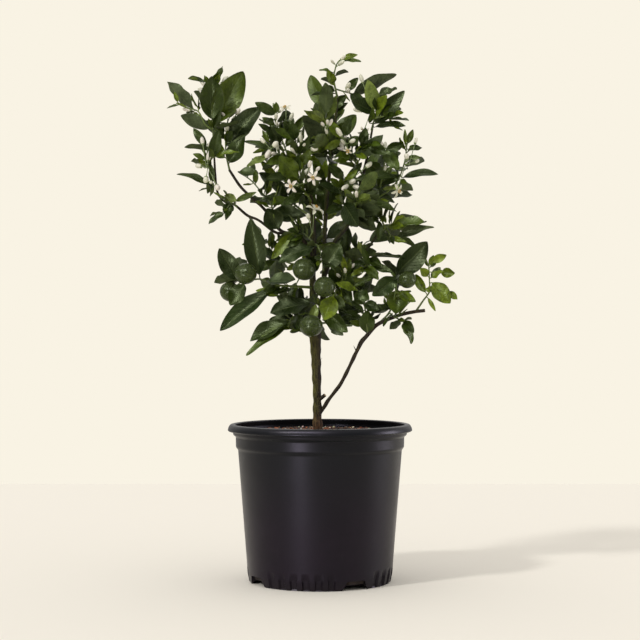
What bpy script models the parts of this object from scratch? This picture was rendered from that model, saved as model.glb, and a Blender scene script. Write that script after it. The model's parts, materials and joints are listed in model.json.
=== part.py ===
"""A potted calamondin: a small citrus tree with fruit and blossom in a nursery pot.

The origin is the middle of the pot's foot, +Z is up and the tree's best side faces -Y.
Sizes below are in millimetres. MM turns them into Blender's metres when a mesh is made.
Every piece is one closed body, and neighbours keep the clearance GAP between them.
"""

import math
import random
from itertools import product

import bmesh
import bpy
from mathutils import Matrix, Vector, noise
from mathutils.bvhtree import BVHTree

MM = 0.001
GAP = 0.3

# The pot, from the outside: a rolled lip over a skirt, a stacking ring, a band and the tapered body
RIM_DIAMETER = 254.0
POT_HEIGHT = 216.0
LIP_WIDTH = 8.4
LIP_STEP = 1.2
LIP_ROUND = 2.5
LIP_ROUND_DROP = 1.5
LEDGE = 0.5
STEP_SLOPE = 2.0
SKIRT_DEPTH = 9.5
SKIRT_INSET = 7.0
RING_INSET = 3.5
RING_DEPTH = 15.0
BAND_DEPTH = 35.0
BAND_INSET = 2.8
BAND_TAPER = 0.4
BAND_CHAMFER = 3.0
FOOT_DIAMETER = 196.0
FOOT_TUCK = 1.0
FLUTE_RISE = 1.8
BODY_RISE = 2.4
WALL = 1.8
FOOT_WALL = 3.0
FOOT_DRAFT = 1.0
FOOT_DRAFT_START = 0.4
FLOOR_HEIGHT = 4.0
FLOOR_THICKNESS = 2.2
PAD_RADIUS = 22.0
PAD_BLEND = 10.0
POT_SEGMENTS = 36
FOOT_SEGMENTS = 72

# Grooves and drain notches round the foot
NOTCH_COUNT = 4
NOTCH_TURN = 29.0
NOTCH_WIDTH = 34.0
NOTCH_HEIGHT = 12.5
NOTCH_DEPTH = 16.0
NOTCH_CORNER = 3.0
NOTCH_OVERRUN = (5.0, 12.0)
FLUTE_PITCH = 10.0
FLUTE_DEPTH = 1.3
FLUTE_HEIGHT = 16.0
FLUTE_FADE = 5.0
FLUTE_REACH = 25.0

# The soil
SOIL_DROP = 12.0
MOUND_HEIGHT = 4.0
SOIL_ROUGHNESS = 1.6
SOIL_GRAIN = 0.06
SOIL_SEGMENTS = 30
SOIL_RINGS = (0.90, 0.72, 0.50, 0.28)
ROOT_DEPTH = 66.0
SOCKET_TOP = 30.0

# The wood: each limb is a list of centre points with a radius, read as a smooth curve
TRUNK_SCALE = 1.0
STEM_SCALE = 1.0

LIMBS = {
    "trunk": (None, [
        (-3, 0, -ROOT_DEPTH, 3.0), (-3, 0, -30, 7.5), (-3, 0, -2, 8.0), (-3.5, 0, 16, 6.4),
        (-4, 0, 50, 5.6), (-5, 0, 85, 6.3), (-6.5, 1, 122, 7.4), (-8, 2, 145, 7.0), (-9, 4, 164, 6.2)]),
    "side_stem": ("trunk", [
        (-3, 0, 18, 2.9), (6, -1, 32, 2.7), (11, -2, 40, 2.6), (20, -3, 52, 2.5), (29, -4, 64, 2.5),
        (41, -5, 88, 2.5), (52, -6, 111, 2.7), (57, -6, 121, 3.2), (64, -6, 129, 3.0), (79, -7, 145, 2.7),
        (107, -9, 157, 2.4), (128, -10, 162, 2.3), (144, -10, 164, 2.3)]),
    "centre_leader": ("trunk", [
        (-9, 4, 160, 4.6), (-10, 8, 190, 4.4), (-10, 9, 225, 4.1), (-9, 7, 257, 3.8), (-10, 6, 292, 3.3),
        (-15, 6, 332, 2.6), (-24, 6, 367, 2.1), (-33, 6, 394, 1.6)]),
    "centre_stem": ("trunk", [
        (-7, 2, 136, 3.2), (-1, 12, 160, 3.2), (4, 19, 190, 3.2), (6, 20, 225, 3.1), (6, 18, 257, 3.0),
        (9, 15, 312, 2.6), (15, 12, 372, 2.2), (21, 9, 422, 1.8), (24, 6, 462, 1.4)]),
    "left_limb": ("centre_leader", [
        (-10, 7, 240, 2.6), (-24, 6, 262, 2.5), (-42, 5, 270, 2.5), (-56, 3, 276, 2.3),
        (-76, 1, 303, 2.1), (-99, 0, 324, 2.0), (-112, 0, 338, 1.9), (-125, 0, 358, 1.7)]),
    "left_outer_limb": ("left_limb", [
        (-50, 4, 271, 2.0), (-62, -2, 272, 1.9), (-84, -4, 288, 1.8), (-100, -5, 295, 1.8),
        (-117, -5, 309, 1.7), (-130, -5, 313, 1.6), (-141, -5, 327, 1.6), (-144, -5, 352, 1.5),
        (-146, -5, 388, 1.4)]),
    "right_limb": ("centre_stem", [
        (6, 20, 210, 2.9), (14, 12, 240, 2.8), (21, 4, 260, 2.7), (40, -2, 285, 2.5), (51, -4, 323, 2.2),
        (60, -4, 354, 1.9), (68, -4, 392, 1.6), (73, -4, 420, 1.4)]),
    "right_low_limb": ("centre_stem", [
        (1, 15, 172, 2.2), (15, 4, 196, 2.1), (38, -6, 226, 2.0), (64, -10, 248, 1.8),
        (76, -10, 264, 1.6), (88, -10, 277, 1.4)]),
}

# Shoots. A row of twigs is (x, y, z) points with z measured from the soil; the first twig grows
# from the limb and the others from the first. A leaf is (base x, base z, tip x, tip z, how far the
# tip comes towards +y, width, the way its upper side faces). F is the front, B the back, L and R the
# sides, U up and D down.
SHOOTS = {
    "upper_left_shoot": ("left_outer_limb", 1.3, [
        [(-145, -5, 380), (-147, -5, 410), (-149, -2, 442), (-152, 0, 474), (-161, 0, 482)],
        [(-147, -5, 412), (-158, -9, 420), (-167, -10, 437), (-182, -10, 442), (-196, -10, 449)]], [
        (-171, 440, -213, 478, 8, 22, "BU"), (-180, 443, -197, 449, -6, 8, "U"),
        (-195, 450, -200, 464, -3, 6, "F"), (-167, 441, -177, 461, -4, 8, "L"),
        (-150, 413, -191, 432, -10, 20, "UB"), (-146, 412, -106, 421, -14, 22, "U"),
        (-148, 424, -148, 485, -12, 34, "F"), (-145, 422, -106, 493, 14, 40, "F"),
        (-164, 481, -181, 484, 2, 8, "U"), (-153, 473, -159, 487, -6, 7, "F"),
        (-148, 436, -176, 470, 30, 24, "UB"), (-150, 446, -128, 478, 34, 22, "UB")]),
    "left_inner_shoot": ("left_limb", 1.2, [
        [(-124, 0, 355), (-129, 0, 378), (-130, 0, 400), (-127, 2, 428)]], [
        (-127, 389, -83, 446, -14, 32, "F"), (-125, 430, -110, 455, 2, 9, "F"),
        (-125, 366, -104, 404, -10, 24, "F"), (-130, 402, -160, 428, 26, 22, "UB"),
        (-130, 380, -112, 412, 32, 20, "BR")]),
    "left_outer_shoot": ("left_outer_limb", 1.2, [
        [(-144, -5, 340), (-151, -9, 356), (-155, -11, 372), (-154, -11, 388)],
        [(-147, -7, 346), (-152, -10, 339)]], [
        (-154, 387, -174, 414, -5, 12, "F"), (-148, 384, -187, 388, -8, 17, "U"),
        (-147, 376, -138, 409, -14, 17, "F"), (-146, 374, -111, 382, -12, 10, "FU"),
        (-156, 364, -158, 382, -10, 7, "L"), (-148, 340, -149, 364, -14, 9, "F"),
        (-153, 337, -195, 354, -6, 15, "FU"), (-148, 333, -167, 329, 4, 8, "U"),
        (-152, 360, -178, 372, 24, 18, "UB")]),
    "left_low_shoot": ("left_outer_limb", 1.1, [
        [(-113, -5, 306), (-121, -12, 311), (-127, -15, 304), (-131, -16, 298)]], [
        (-125, 312, -126, 292, -8, 16, "F"), (-132, 297, -153, 283, -2, 12, "FU"),
        (-130, 322, -114, 313, -6, 13, "F"), (-116, 314, -87, 326, -6, 9, "F"),
        (-124, 306, -146, 312, 20, 16, "UB")]),
    "left_limb_shoot": ("left_limb", 1.3, [
        [(-62, 3, 285), (-64, -6, 296), (-68, -10, 312), (-80, -11, 326), (-94, -10, 342),
         (-108, -8, 352)]], [
        (-57, 277, -73, 304, -12, 28, "F"), (-82, 314, -60, 321, -8, 11, "FU"),
        (-67, 313, -46, 317, -8, 13, "F"), (-112, 355, -84, 350, -6, 18, "FU"),
        (-88, 336, -88, 356, -4, 8, "F"), (-70, 318, -98, 312, 24, 18, "UB"),
        (-84, 330, -62, 342, 26, 20, "UB"), (-100, 346, -92, 374, 22, 18, "BR")]),
    "centre_left_shoot": ("centre_leader", 1.3, [
        [(-23, 6, 364), (-42, -4, 372), (-60, -9, 380), (-71, -10, 388)],
        [(-42, -4, 372), (-52, -4, 398), (-60, -4, 420), (-62, -4, 436)]], [
        (-60, 382, -104, 398, -8, 16, "FU"), (-66, 378, -100, 359, -10, 12, "FU"),
        (-73, 387, -92, 381, 8, 6, "F"), (-70, 395, -79, 411, -4, 7, "F"),
        (-66, 410, -85, 420, -8, 9, "F"), (-29, 372, -1, 371, -20, 13, "FU"),
        (-40, 382, -45, 374, -20, 12, "F"), (-62, 434, -89, 449, -10, 15, "F"),
        (-60, 436, -60, 450, -8, 9, "F"), (-62, 427, -78, 420, -14, 9, "F"),
        (-55, 394, -68, 416, -16, 20, "F"), (-58, 424, -40, 438, 22, 18, "UB"),
        (-48, 384, -74, 398, 30, 20, "UB"), (-62, 388, -80, 372, 28, 18, "UB")]),
    "centre_front_shoot": ("centre_leader", 1.3, [
        [(-12, 6, 314), (-18, -10, 324), (-27, -20, 338), (-33, -22, 352)],
        [(-22, -14, 331), (-27, -16, 352), (-32, -14, 383), (-35, -12, 412)]], [
        (-29, 343, -56, 373, -16, 26, "F"), (-31, 341, -73, 346, -12, 20, "UF"),
        (-24, 325, -54, 307, -12, 12, "F"), (-22, 326, 6, 322, -14, 15, "FU"),
        (-33, 352, -30, 376, -10, 12, "F"), (-28, 360, -12, 384, -14, 13, "F"),
        (-34, 402, -50, 424, -10, 12, "F"), (-35, 408, -22, 430, -6, 12, "F"),
        (-30, 376, -14, 398, -12, 14, "F")]),
    "top_shoot": ("centre_stem", 1.2, [
        [(24, 6, 458), (19, 5, 482), (20, 4, 493), (23, 4, 504), (27, 4, 509)],
        [(22, 6, 470), (34, 3, 466), (44, 1, 463)]], [
        (46, 462, 107, 490, 8, 24, "BU"), (30, 509, 57, 506, -4, 8, "FU"), (28, 510, 52, 518, 6, 9, "F"),
        (17, 493, -1, 496, -6, 8, "FU"), (21, 466, 5, 472, -14, 10, "F"),
        (20, 464, -14, 462, -10, 12, "U"), (40, 464, 62, 446, -12, 15, "F"),
        (20, 488, 38, 498, 20, 12, "UB"), (22, 478, 0, 486, 26, 14, "UB"),
        (36, 468, 52, 484, -8, 12, "F")]),
    "upper_right_shoot": ("right_limb", 1.3, [
        [(71, -4, 412), (74, -8, 424), (78, -10, 440), (80, -9, 458)],
        [(75, -8, 428), (88, -12, 430), (96, -12, 429)]], [
        (79, 436, 65, 479, -14, 20, "F"), (80, 458, 106, 468, -4, 16, "FU"),
        (76, 421, 115, 464, -14, 22, "F"), (77, 437, 42, 448, -14, 24, "FU"),
        (85, 428, 102, 446, -12, 10, "F"), (95, 430, 110, 438, -6, 7, "F"),
        (94, 427, 122, 424, -8, 17, "U"), (74, 416, 117, 416, -20, 15, "FU"),
        (68, 422, 72, 440, -16, 9, "F"), (78, 446, 96, 474, 24, 20, "UB"),
        (76, 440, 60, 468, 26, 20, "UB"), (90, 430, 112, 444, 26, 18, "UB")]),
    "right_front_shoot": ("right_limb", 1.3, [
        [(59, -4, 350), (48, -14, 368), (38, -19, 386), (31, -20, 400)],
        [(44, -16, 376), (56, -22, 386), (66, -24, 392)]], [
        (47, 373, 86, 402, -14, 22, "F"), (38, 388, 53, 401, -10, 14, "F"),
        (32, 402, 42, 427, -8, 12, "F"), (28, 396, 5, 382, -8, 11, "F"), (29, 400, 10, 424, -8, 13, "F"),
        (66, 390, 90, 376, -12, 17, "F"), (56, 388, 62, 412, -12, 14, "F"),
        (42, 380, 24, 366, -14, 14, "F"), (50, 370, 30, 386, 18, 16, "UB")]),
    "right_rising_shoot": ("right_limb", 1.5, [
        [(45, -3, 300), (63, -9, 301), (82, -12, 320), (95, -13, 329), (108, -14, 345), (116, -14, 368),
         (119, -14, 391)],
        [(73, -11, 312), (84, -12, 340), (88, -14, 366), (88, -14, 384)]], [
        (109, 348, 43, 341, -14, 18, "FU"), (114, 346, 161, 354, -6, 16, "FU"),
        (110, 343, 118, 338, -10, 7, "F"), (117, 392, 116, 412, -4, 6, "F"),
        (120, 393, 127, 411, -8, 9, "F"), (120, 384, 140, 387, -4, 12, "FU"),
        (120, 374, 138, 373, -6, 7, "F"), (91, 384, 115, 391, -10, 14, "F"),
        (88, 382, 107, 356, -18, 18, "F"), (90, 328, 62, 333, -16, 9, "FU"),
        (85, 330, 113, 329, -12, 9, "FU"), (86, 352, 66, 366, -8, 16, "F"),
        (100, 335, 128, 332, 24, 20, "UB"), (116, 364, 146, 370, 26, 20, "UB"),
        (86, 358, 110, 384, 28, 20, "UB")]),
    "right_centre_shoot": ("right_limb", 1.2, [
        [(44, -2, 294), (38, -14, 304), (31, -19, 312), (30, -22, 332), (33, -23, 342)]], [
        (29, 312, 54, 275, -14, 26, "F"), (50, 314, 105, 301, -14, 20, "UF"),
        (27, 324, -2, 336, -14, 17, "FU"), (34, 342, 62, 372, -10, 15, "F"),
        (34, 306, 8, 296, -12, 16, "FU"), (30, 330, 52, 330, -16, 14, "F"),
        (32, 344, 12, 362, -8, 14, "F")]),
    "right_outer_shoot": ("right_low_limb", 1.2, [
        [(86, -10, 275), (95, -12, 280), (103, -13, 282)],
        [(91, -11, 277), (96, -18, 268), (104, -21, 263)],
        [(90, -11, 277), (84, -14, 288), (77, -15, 297)]], [
        (98, 282, 146, 286, -8, 24, "FU"), (105, 263, 154, 281, -8, 22, "FU"),
        (96, 264, 118, 257, -8, 8, "F"), (82, 286, 80, 260, -10, 9, "F"), (78, 297, 70, 282, -12, 8, "F"),
        (84, 294, 90, 284, -12, 8, "F"), (98, 278, 128, 296, 26, 22, "UB"),
        (84, 282, 66, 296, 24, 18, "UB"), (88, 276, 112, 262, 30, 20, "UB")]),
    "right_low_shoot": ("right_low_limb", 1.2, [
        [(58, -9, 243), (63, -14, 235), (66, -17, 222)]], [
        (66, 239, 117, 236, -8, 18, "U"), (62, 240, 52, 258, -8, 9, "F"), (67, 224, 57, 253, -12, 9, "F"),
        (63, 227, 42, 211, -6, 9, "F"), (68, 236, 83, 225, -14, 13, "F"),
        (69, 228, 101, 215, -10, 11, "F"), (62, 226, 80, 206, -12, 13, "F"),
        (60, 236, 34, 244, 20, 18, "UB")]),
    "right_inner_shoot": ("side_stem", 1.3, [
        [(82, -7, 147), (96, -9, 163), (103, -12, 188), (106, -12, 210)],
        [(95, -9, 161), (104, -14, 154), (115, -17, 150)]], [
        (116, 150, 127, 119, -2, 21, "FR"), (112, 151, 96, 138, 10, 13, "UB"),
        (106, 213, 146, 259, -10, 34, "F"), (104, 209, 72, 184, -14, 24, "F"),
        (107, 192, 104, 160, -12, 30, "F"), (108, 188, 131, 176, -6, 13, "FR"),
        (96, 166, 80, 171, -12, 10, "F"), (106, 212, 84, 232, 18, 24, "UB"),
        (104, 198, 126, 214, 28, 22, "UR"), (100, 178, 116, 190, 30, 18, "BR"),
        (98, 172, 74, 160, 24, 18, "UB")]),
    "side_stem_shoot": ("side_stem", 1.3, [
        [(66, -6, 131), (64, -9, 146), (62, -11, 165), (57, -12, 184), (48, -12, 196)]], [
        (63, 134, 66, 165, -14, 22, "F"), (58, 164, 35, 176, -10, 12, "FU"),
        (57, 154, 27, 163, -10, 12, "FU"), (59, 144, 40, 149, -6, 9, "F"),
        (60, 176, 80, 165, -8, 16, "F"), (46, 197, 76, 210, -8, 14, "FU"),
        (50, 191, 67, 178, -14, 16, "F"), (62, 158, 44, 174, 24, 20, "UB"),
        (56, 186, 78, 196, 26, 20, "UB"), (46, 198, 30, 214, -6, 14, "F"),
        (60, 170, 50, 190, -12, 18, "F"), (64, 150, 84, 160, 24, 16, "BR")]),
    "side_tip_shoot": ("side_stem", 1.2, [
        [(131, -10, 162), (141, -12, 177), (150, -13, 190), (150, -13, 204), (149, -13, 226)]], [
        (153, 209, 169, 219, -4, 13, "FU"), (166, 216, 184, 215, -8, 14, "F"),
        (153, 231, 173, 240, -4, 12, "F"), (150, 226, 156, 240, 4, 8, "F"),
        (148, 209, 137, 222, -6, 12, "F"), (154, 202, 178, 174, -6, 24, "F"),
        (176, 190, 188, 179, -4, 10, "F"), (154, 193, 143, 193, -10, 9, "F"),
        (148, 181, 158, 163, -6, 6, "F"), (149, 224, 143, 240, 10, 9, "L")]),
    "centre_low_shoot": ("centre_leader", 1.4, [
        [(-10, 7, 250), (-7, -8, 254), (-3, -19, 252), (3, -27, 236), (5, -28, 218)],
        [(-5, -13, 252), (-20, -12, 268), (-35, -14, 271)]], [
        (-4, 252, -57, 231, -12, 26, "FU"), (5, 220, 28, 255, -8, 30, "F"),
        (-37, 270, -66, 235, -8, 16, "F"), (-20, 266, -44, 276, -10, 12, "FU"),
        (-24, 266, -44, 252, -14, 12, "F"), (2, 240, -24, 214, 14, 22, "FD")]),
    "low_right_front_shoot": ("right_low_limb", 1.2, [
        [(17, 3, 199), (26, -8, 197), (33, -14, 204), (37, -16, 216)]], [
        (26, 197, 18, 228, -10, 22, "F"), (36, 214, 30, 239, -14, 8, "F"), (38, 214, 41, 236, -8, 8, "F"),
        (35, 208, 56, 224, -8, 14, "F"), (28, 198, 44, 176, -10, 16, "F")]),
    "low_left_shoot": ("trunk", 1.5, [
        [(-8, 2, 150), (-16, -12, 160), (-28, -18, 158), (-42, -20, 150)],
        [(-12, -6, 155), (0, -18, 168), (12, -26, 182), (20, -28, 186)]], [
        (-14, 175, -68, 160, -10, 32, "FU"), (-43, 149, -97, 125, -4, 26, "FU"),
        (-42, 146, -100, 101, -8, 18, "FU"), (-24, 160, -36, 138, -12, 20, "F"),
        (-6, 172, -11, 147, -14, 12, "F"), (20, 184, 5, 151, -10, 26, "F"),
        (3, 164, 38, 134, -8, 22, "F"), (-30, 162, -58, 184, 24, 22, "UB"),
        (-20, 164, -2, 186, 26, 20, "UB"), (14, 180, 34, 170, -4, 18, "F")]),
    "left_low_branch": ("centre_leader", 1.8, [
        [(-10, 8, 196), (-30, -6, 197), (-60, -14, 199), (-82, -16, 207), (-100, -15, 204),
         (-112, -14, 206)]], [
        (-83, 213, -95, 289, -10, 30, "F"), (-113, 207, -138, 249, -8, 26, "F"),
        (-66, 193, -135, 134, -14, 28, "FU"), (-76, 203, -33, 205, -22, 26, "UF"),
        (-38, 194, -63, 187, -12, 11, "FU"), (-104, 200, -122, 170, 16, 24, "FL"),
        (-90, 210, -120, 234, 34, 24, "UB"), (-60, 204, -62, 236, 26, 24, "UB"),
        (-48, 192, -52, 166, 22, 22, "B"), (-110, 208, -146, 204, 28, 24, "UB")]),
}

# Shoots that follow one rule, mostly on the sides and the back: the limb, how far along it they
# leave it, the point they reach, and how many leaves they carry.
FILL_SHOOTS = {
    "back_low_left_shoot": ("trunk", 0.86, (-58, 62, 190), 8),
    "back_low_right_shoot": ("trunk", 0.93, (46, 74, 176), 8),
    "back_left_shoot": ("centre_leader", 0.30, (-86, 74, 262), 9),
    "back_centre_shoot": ("centre_leader", 0.45, (-14, 106, 268), 9),
    "back_right_shoot": ("centre_stem", 0.42, (66, 84, 262), 9),
    "back_high_left_shoot": ("centre_leader", 0.68, (-74, 78, 372), 9),
    "back_high_shoot": ("centre_stem", 0.62, (6, 92, 366), 9),
    "back_high_right_shoot": ("right_limb", 0.62, (96, 66, 356), 9),
    "back_top_shoot": ("centre_stem", 0.84, (10, 52, 446), 9),
    "front_high_shoot": ("centre_stem", 0.78, (8, -48, 424), 8),
    "front_right_shoot": ("right_limb", 0.45, (52, -62, 322), 8),
}
FILL_TWIG_RADIUS = 1.5
FILL_TWIG_SAG = 0.10

# Their leaves: set round the twig from this share of it on, each turned on by the golden angle, and
# turned a little further or back, and shortened, until they clear their neighbours
LEAF_LENGTHS = (34.0, 58.0)
LEAF_SHAPE = 0.46
GOLDEN_ANGLE = math.radians(137.5)
FIRST_LEAF = 0.30
LEAF_TRIES = 24
TRY_TURN = 0.35
TRY_SHRINK = 0.02
LEAF_LEAN = 0.9
END_LEAF_LEAN = 2.4
LEAF_LIFT = 0.12
LEAF_STALK = 6.0

# A leaf of a listed row keeps its base, and takes the first size, shift of its tip towards +y and roll
# that clear its neighbours
LEAF_SIZES = (1.0, 0.85, 0.7)
TIP_SHIFTS = (0, -5, 5, -10, 10, -16, 16, -24, 24, -32, 32)
LEAF_ROLLS = (0.0, 0.4, -0.4)
SHORTEST_STALK = 2.5
SHORT_STALK = 3.0

# Fruits: where the stalk grows from, the centre with z from the soil, and the radius
FRUIT_SCALE = 1.0
FRUIT_SQUASH = 0.95
FRUIT_STALK_RADII = (1.0, 1.3)
FRUIT_ELBOW = 3.0
STALK_DEPTH = 0.6
FRUITS = {
    "fruit_left": ("left_low_branch", (-96, 204), (-101, -32, 214), 15.3),
    "fruit_far_left": ("left_low_branch", (-108, 205), (-124, -2, 190), 14.3),
    "fruit_centre": ("left_low_branch", (-34, 197), (-21.5, -32, 220), 16.0),
    "fruit_centre_right": ("low_left_shoot", (9, 180), (6, -46, 196), 14.7),
    "fruit_trunk": ("low_left_shoot", (-16, 160), (-12, -36, 143), 15.7),
    "fruit_right": ("right_inner_shoot", (105, 203), (119, -24, 206), 12.3),
}

# Flower clusters: the shoot they grow on, the twig point (x, z) they leave it at, and their buds and
# open flowers as (x, y, z, length or spread, width). A width of 0 marks an open flower.
CLUSTERS = {
    "flower_cluster_upper_left": ("upper_left_shoot", (-151, 462), [
        (-131, 4, 482, 14, 8), (-139, 10, 476, 12, 7), (-136, 14, 470, 10, 6)]),
    "flower_cluster_left_tip": ("left_inner_shoot", (-128, 422), [
        (-113, -4, 438, 11, 7), (-142, 6, 424, 9, 8), (-118, 12, 430, 12, 7)]),
    "flower_cluster_left": ("left_outer_shoot", (-153, 360), [
        (-161, -17, 396, 12, 6), (-152, -21, 374, 13, 7), (-166, -14, 362, 11, 7),
        (-156, -19, 343, 10, 8), (-140, -24, 332, 10, 8)]),
    "flower_cluster_centre_left": ("centre_left_shoot", (-66, 385), [
        (-71, -20, 378, 14, 8), (-61, -20, 391, 11, 8), (-78, -16, 396, 10, 6)]),
    "flower_cluster_centre_high": ("centre_left_shoot", (-54, 402), [
        (-47, -17, 440, 16, 0), (-39, -15, 429, 13, 6), (-35, -9, 419, 10, 6)]),
    "flower_cluster_centre": ("centre_front_shoot", (-32, 384), [
        (-26, -24, 399, 14, 6), (-22, -30, 390, 10, 6), (-8, -28, 384, 12, 7), (2, -26, 394, 14, 6)]),
    "flower_cluster_centre_low": ("centre_front_shoot", (-24, 336), [
        (-38, -44, 332, 20, 0), (-8, -40, 344, 20, 0), (-14, -38, 362, 12, 6), (-3, -36, 356, 9, 5)]),
    "flower_cluster_heart": ("centre_low_shoot", (-14, 264), [
        (-8, -34, 301, 25, 0), (-16, -34, 292, 9, 6)]),
    "flower_cluster_right": ("right_front_shoot", (36, 391), [
        (26, -34, 406, 15, 7), (44, -36, 394, 12, 6), (38, -40, 381, 13, 0)]),
    "flower_cluster_right_low": ("right_centre_shoot", (31, 338), [
        (34, -36, 331, 16, 7), (44, -34, 339, 12, 7), (50, -34, 331, 14, 7), (66, -28, 362, 12, 7)]),
    "flower_cluster_upper_right": ("upper_right_shoot", (76, 434), [
        (60, -24, 409, 17, 0), (52, -20, 438, 15, 7), (57, -10, 482, 14, 6)]),
    "flower_cluster_far_right": ("right_rising_shoot", (114, 364), [
        (131, -18, 396, 10, 5), (118, -24, 374, 9, 7), (132, -14, 369, 9, 6), (105, -26, 328, 20, 0)]),
}

CLUSTER_STALK_RADIUS = 0.8
CLUSTER_FORK_SHARE = 0.35
CLUSTER_FORK_LEAST = 3.0
BUD_START = 0.9
BUD_STEP = 2.0
BUD_SIDES = 4
PETAL_COUNT = 5
PETAL_NOTCH = 0.42
PETAL_RISE = 0.12
FLOWER_BACK, FLOWER_FRONT = 1.2, 3.0

# The shape of the leaves and their stalks
FACES = {"F": (0, -1, 0), "B": (0, 1, 0), "L": (-1, 0, 0), "R": (1, 0, 0), "U": (0, 0, 1), "D": (0, 0, -1)}
LEAF_THICKNESS = 0.9
LEAF_ARCH = 0.09
LEAF_FOLD = 0.16
LARGE_LEAF = 55.0
SMALL_LEAF = 24.0
STRAIGHT_STALK = 0.88
STALK_BEND = 0.8
STALK_RADIUS = 0.65
BLADE_START = 0.04
BLADE = ((0.45, 1.0),)
LARGE_BLADE = ((0.30, 0.94), (0.68, 0.82))

# The shape of the wood, and how pieces find their places
TWIG_TIP_RADIUS = 0.8
SIDE_TWIG_SHARE = 0.8
SIDE_TWIG_TURN = 0.35
TWIG_SIDES = 4
SIDE_TWIG_BITE = 0.37
LIMB_SIDES = 6
END_MARGIN = 1.3
LEAF_STEP = 1.6
SEAT_STEP = 0.15
SHORTEST_STEP = 0.8
NEIGHBOUR_CLEARANCE = 0.45
OWN_SHOOT_CLEARANCE = 0.1
OWN_SHOOT_START = 0.14
SEED = 7

COLOURS = {
    "pot": ((0.012, 0.012, 0.014), 0.42),
    "soil": ((0.055, 0.030, 0.016), 0.95),
    "bark": ((0.110, 0.085, 0.040), 0.80),
    "leaf": ((0.030, 0.060, 0.020), 0.38),
    "fruit": ((0.035, 0.075, 0.018), 0.35),
    "petal": ((0.800, 0.800, 0.680), 0.55),
}


def soil_level():
    return POT_HEIGHT - SOIL_DROP + MOUND_HEIGHT


# ---- plain shapes, as lists of points and faces -------------------------------------------------

class Shape:
    def __init__(self, points=None, faces=None):
        self.points = points or []
        self.faces = faces or []

    def add(self, other):
        start = len(self.points)
        self.points += other.points
        self.faces += [tuple(start + i for i in face) for face in other.faces]
        return self

    def tree(self):
        return BVHTree.FromPolygons(self.points, self.faces)


def loft(rings, tip=None):
    """A closed skin through rings of equal size, with flat ends or a point at the far end."""
    shape = Shape()
    count = len(rings[0])
    for ring in rings:
        shape.points += ring
    for level in range(len(rings) - 1):
        low = level * count
        for i in range(count):
            j = (i + 1) % count
            shape.faces.append((low + i, low + j, low + count + j, low + count + i))
    shape.faces.append(tuple(reversed(range(count))))
    top = (len(rings) - 1) * count
    if tip is None:
        shape.faces.append(tuple(range(top, top + count)))
        return shape
    shape.points.append(tip)
    for i in range(count):
        shape.faces.append((top + i, top + (i + 1) % count, len(shape.points) - 1))
    return shape


def smooth(points, steps):
    """Points on the smooth curve through the given (x, y, z, radius) points."""
    rows = [Vector(p) for p in points]
    ends = [2 * rows[0] - rows[1]] + rows + [2 * rows[-1] - rows[-2]]
    curve = []
    for a, b, c, d in zip(ends, ends[1:], ends[2:], ends[3:]):
        for k in range(steps):
            t = k / steps
            curve.append(0.5 * (2 * b + (c - a) * t + (2 * a - 5 * b + 4 * c - d) * t * t
                                + (3 * b - a - 3 * c + d) * t ** 3))
    return curve + [rows[-1]]


def frames(path):
    """A pair of cross directions at each point of a path, carried along without twisting."""
    spots = [Vector(p[:3]) for p in path]
    last = None
    for i, spot in enumerate(spots):
        ahead = (spots[min(i + 1, len(spots) - 1)] - spots[max(i - 1, 0)]).normalized()
        if last is None:
            side = ahead.cross(Vector((0.2, 1, 0.1))).normalized()
        else:
            side = (last - ahead * last.dot(ahead)).normalized()
        last = side
        yield spot, side, ahead.cross(side)


def around(centre, radius, side, across, sides, turn=0.0):
    """A ring of points round a centre."""
    angles = [turn + 2 * math.pi * i / sides for i in range(sides)]
    return [centre + radius * (math.cos(a) * side + math.sin(a) * across) for a in angles]


def tube(path, sides, turn=0.0):
    """A closed tube along a path of (x, y, z, radius) points."""
    return loft([around(spot, row[3], side, across, sides, turn)
                 for row, (spot, side, across) in zip(path, frames(path))])


def ball(centre, radius, sides=9, rings=6):
    """A slightly flattened ball, with a point at each pole."""
    side, across = Vector((1, 0, 0)), Vector((0, 1, 0))
    pole = Vector((0, 0, FRUIT_SQUASH * radius))
    levels = [around(centre - math.cos(polar) * pole, radius * math.sin(polar), side, across, sides)
              for polar in (math.pi * k / rings for k in range(1, rings))]
    shape = loft(levels, centre + pole)
    cap = next(i for i, face in enumerate(shape.faces) if len(face) == sides)
    del shape.faces[cap]
    shape.points.append(centre - pole)
    foot = len(shape.points) - 1
    shape.faces += [((i + 1) % sides, i, foot) for i in range(sides)]
    return shape


# ---- leaves -------------------------------------------------------------------------------------

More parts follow.
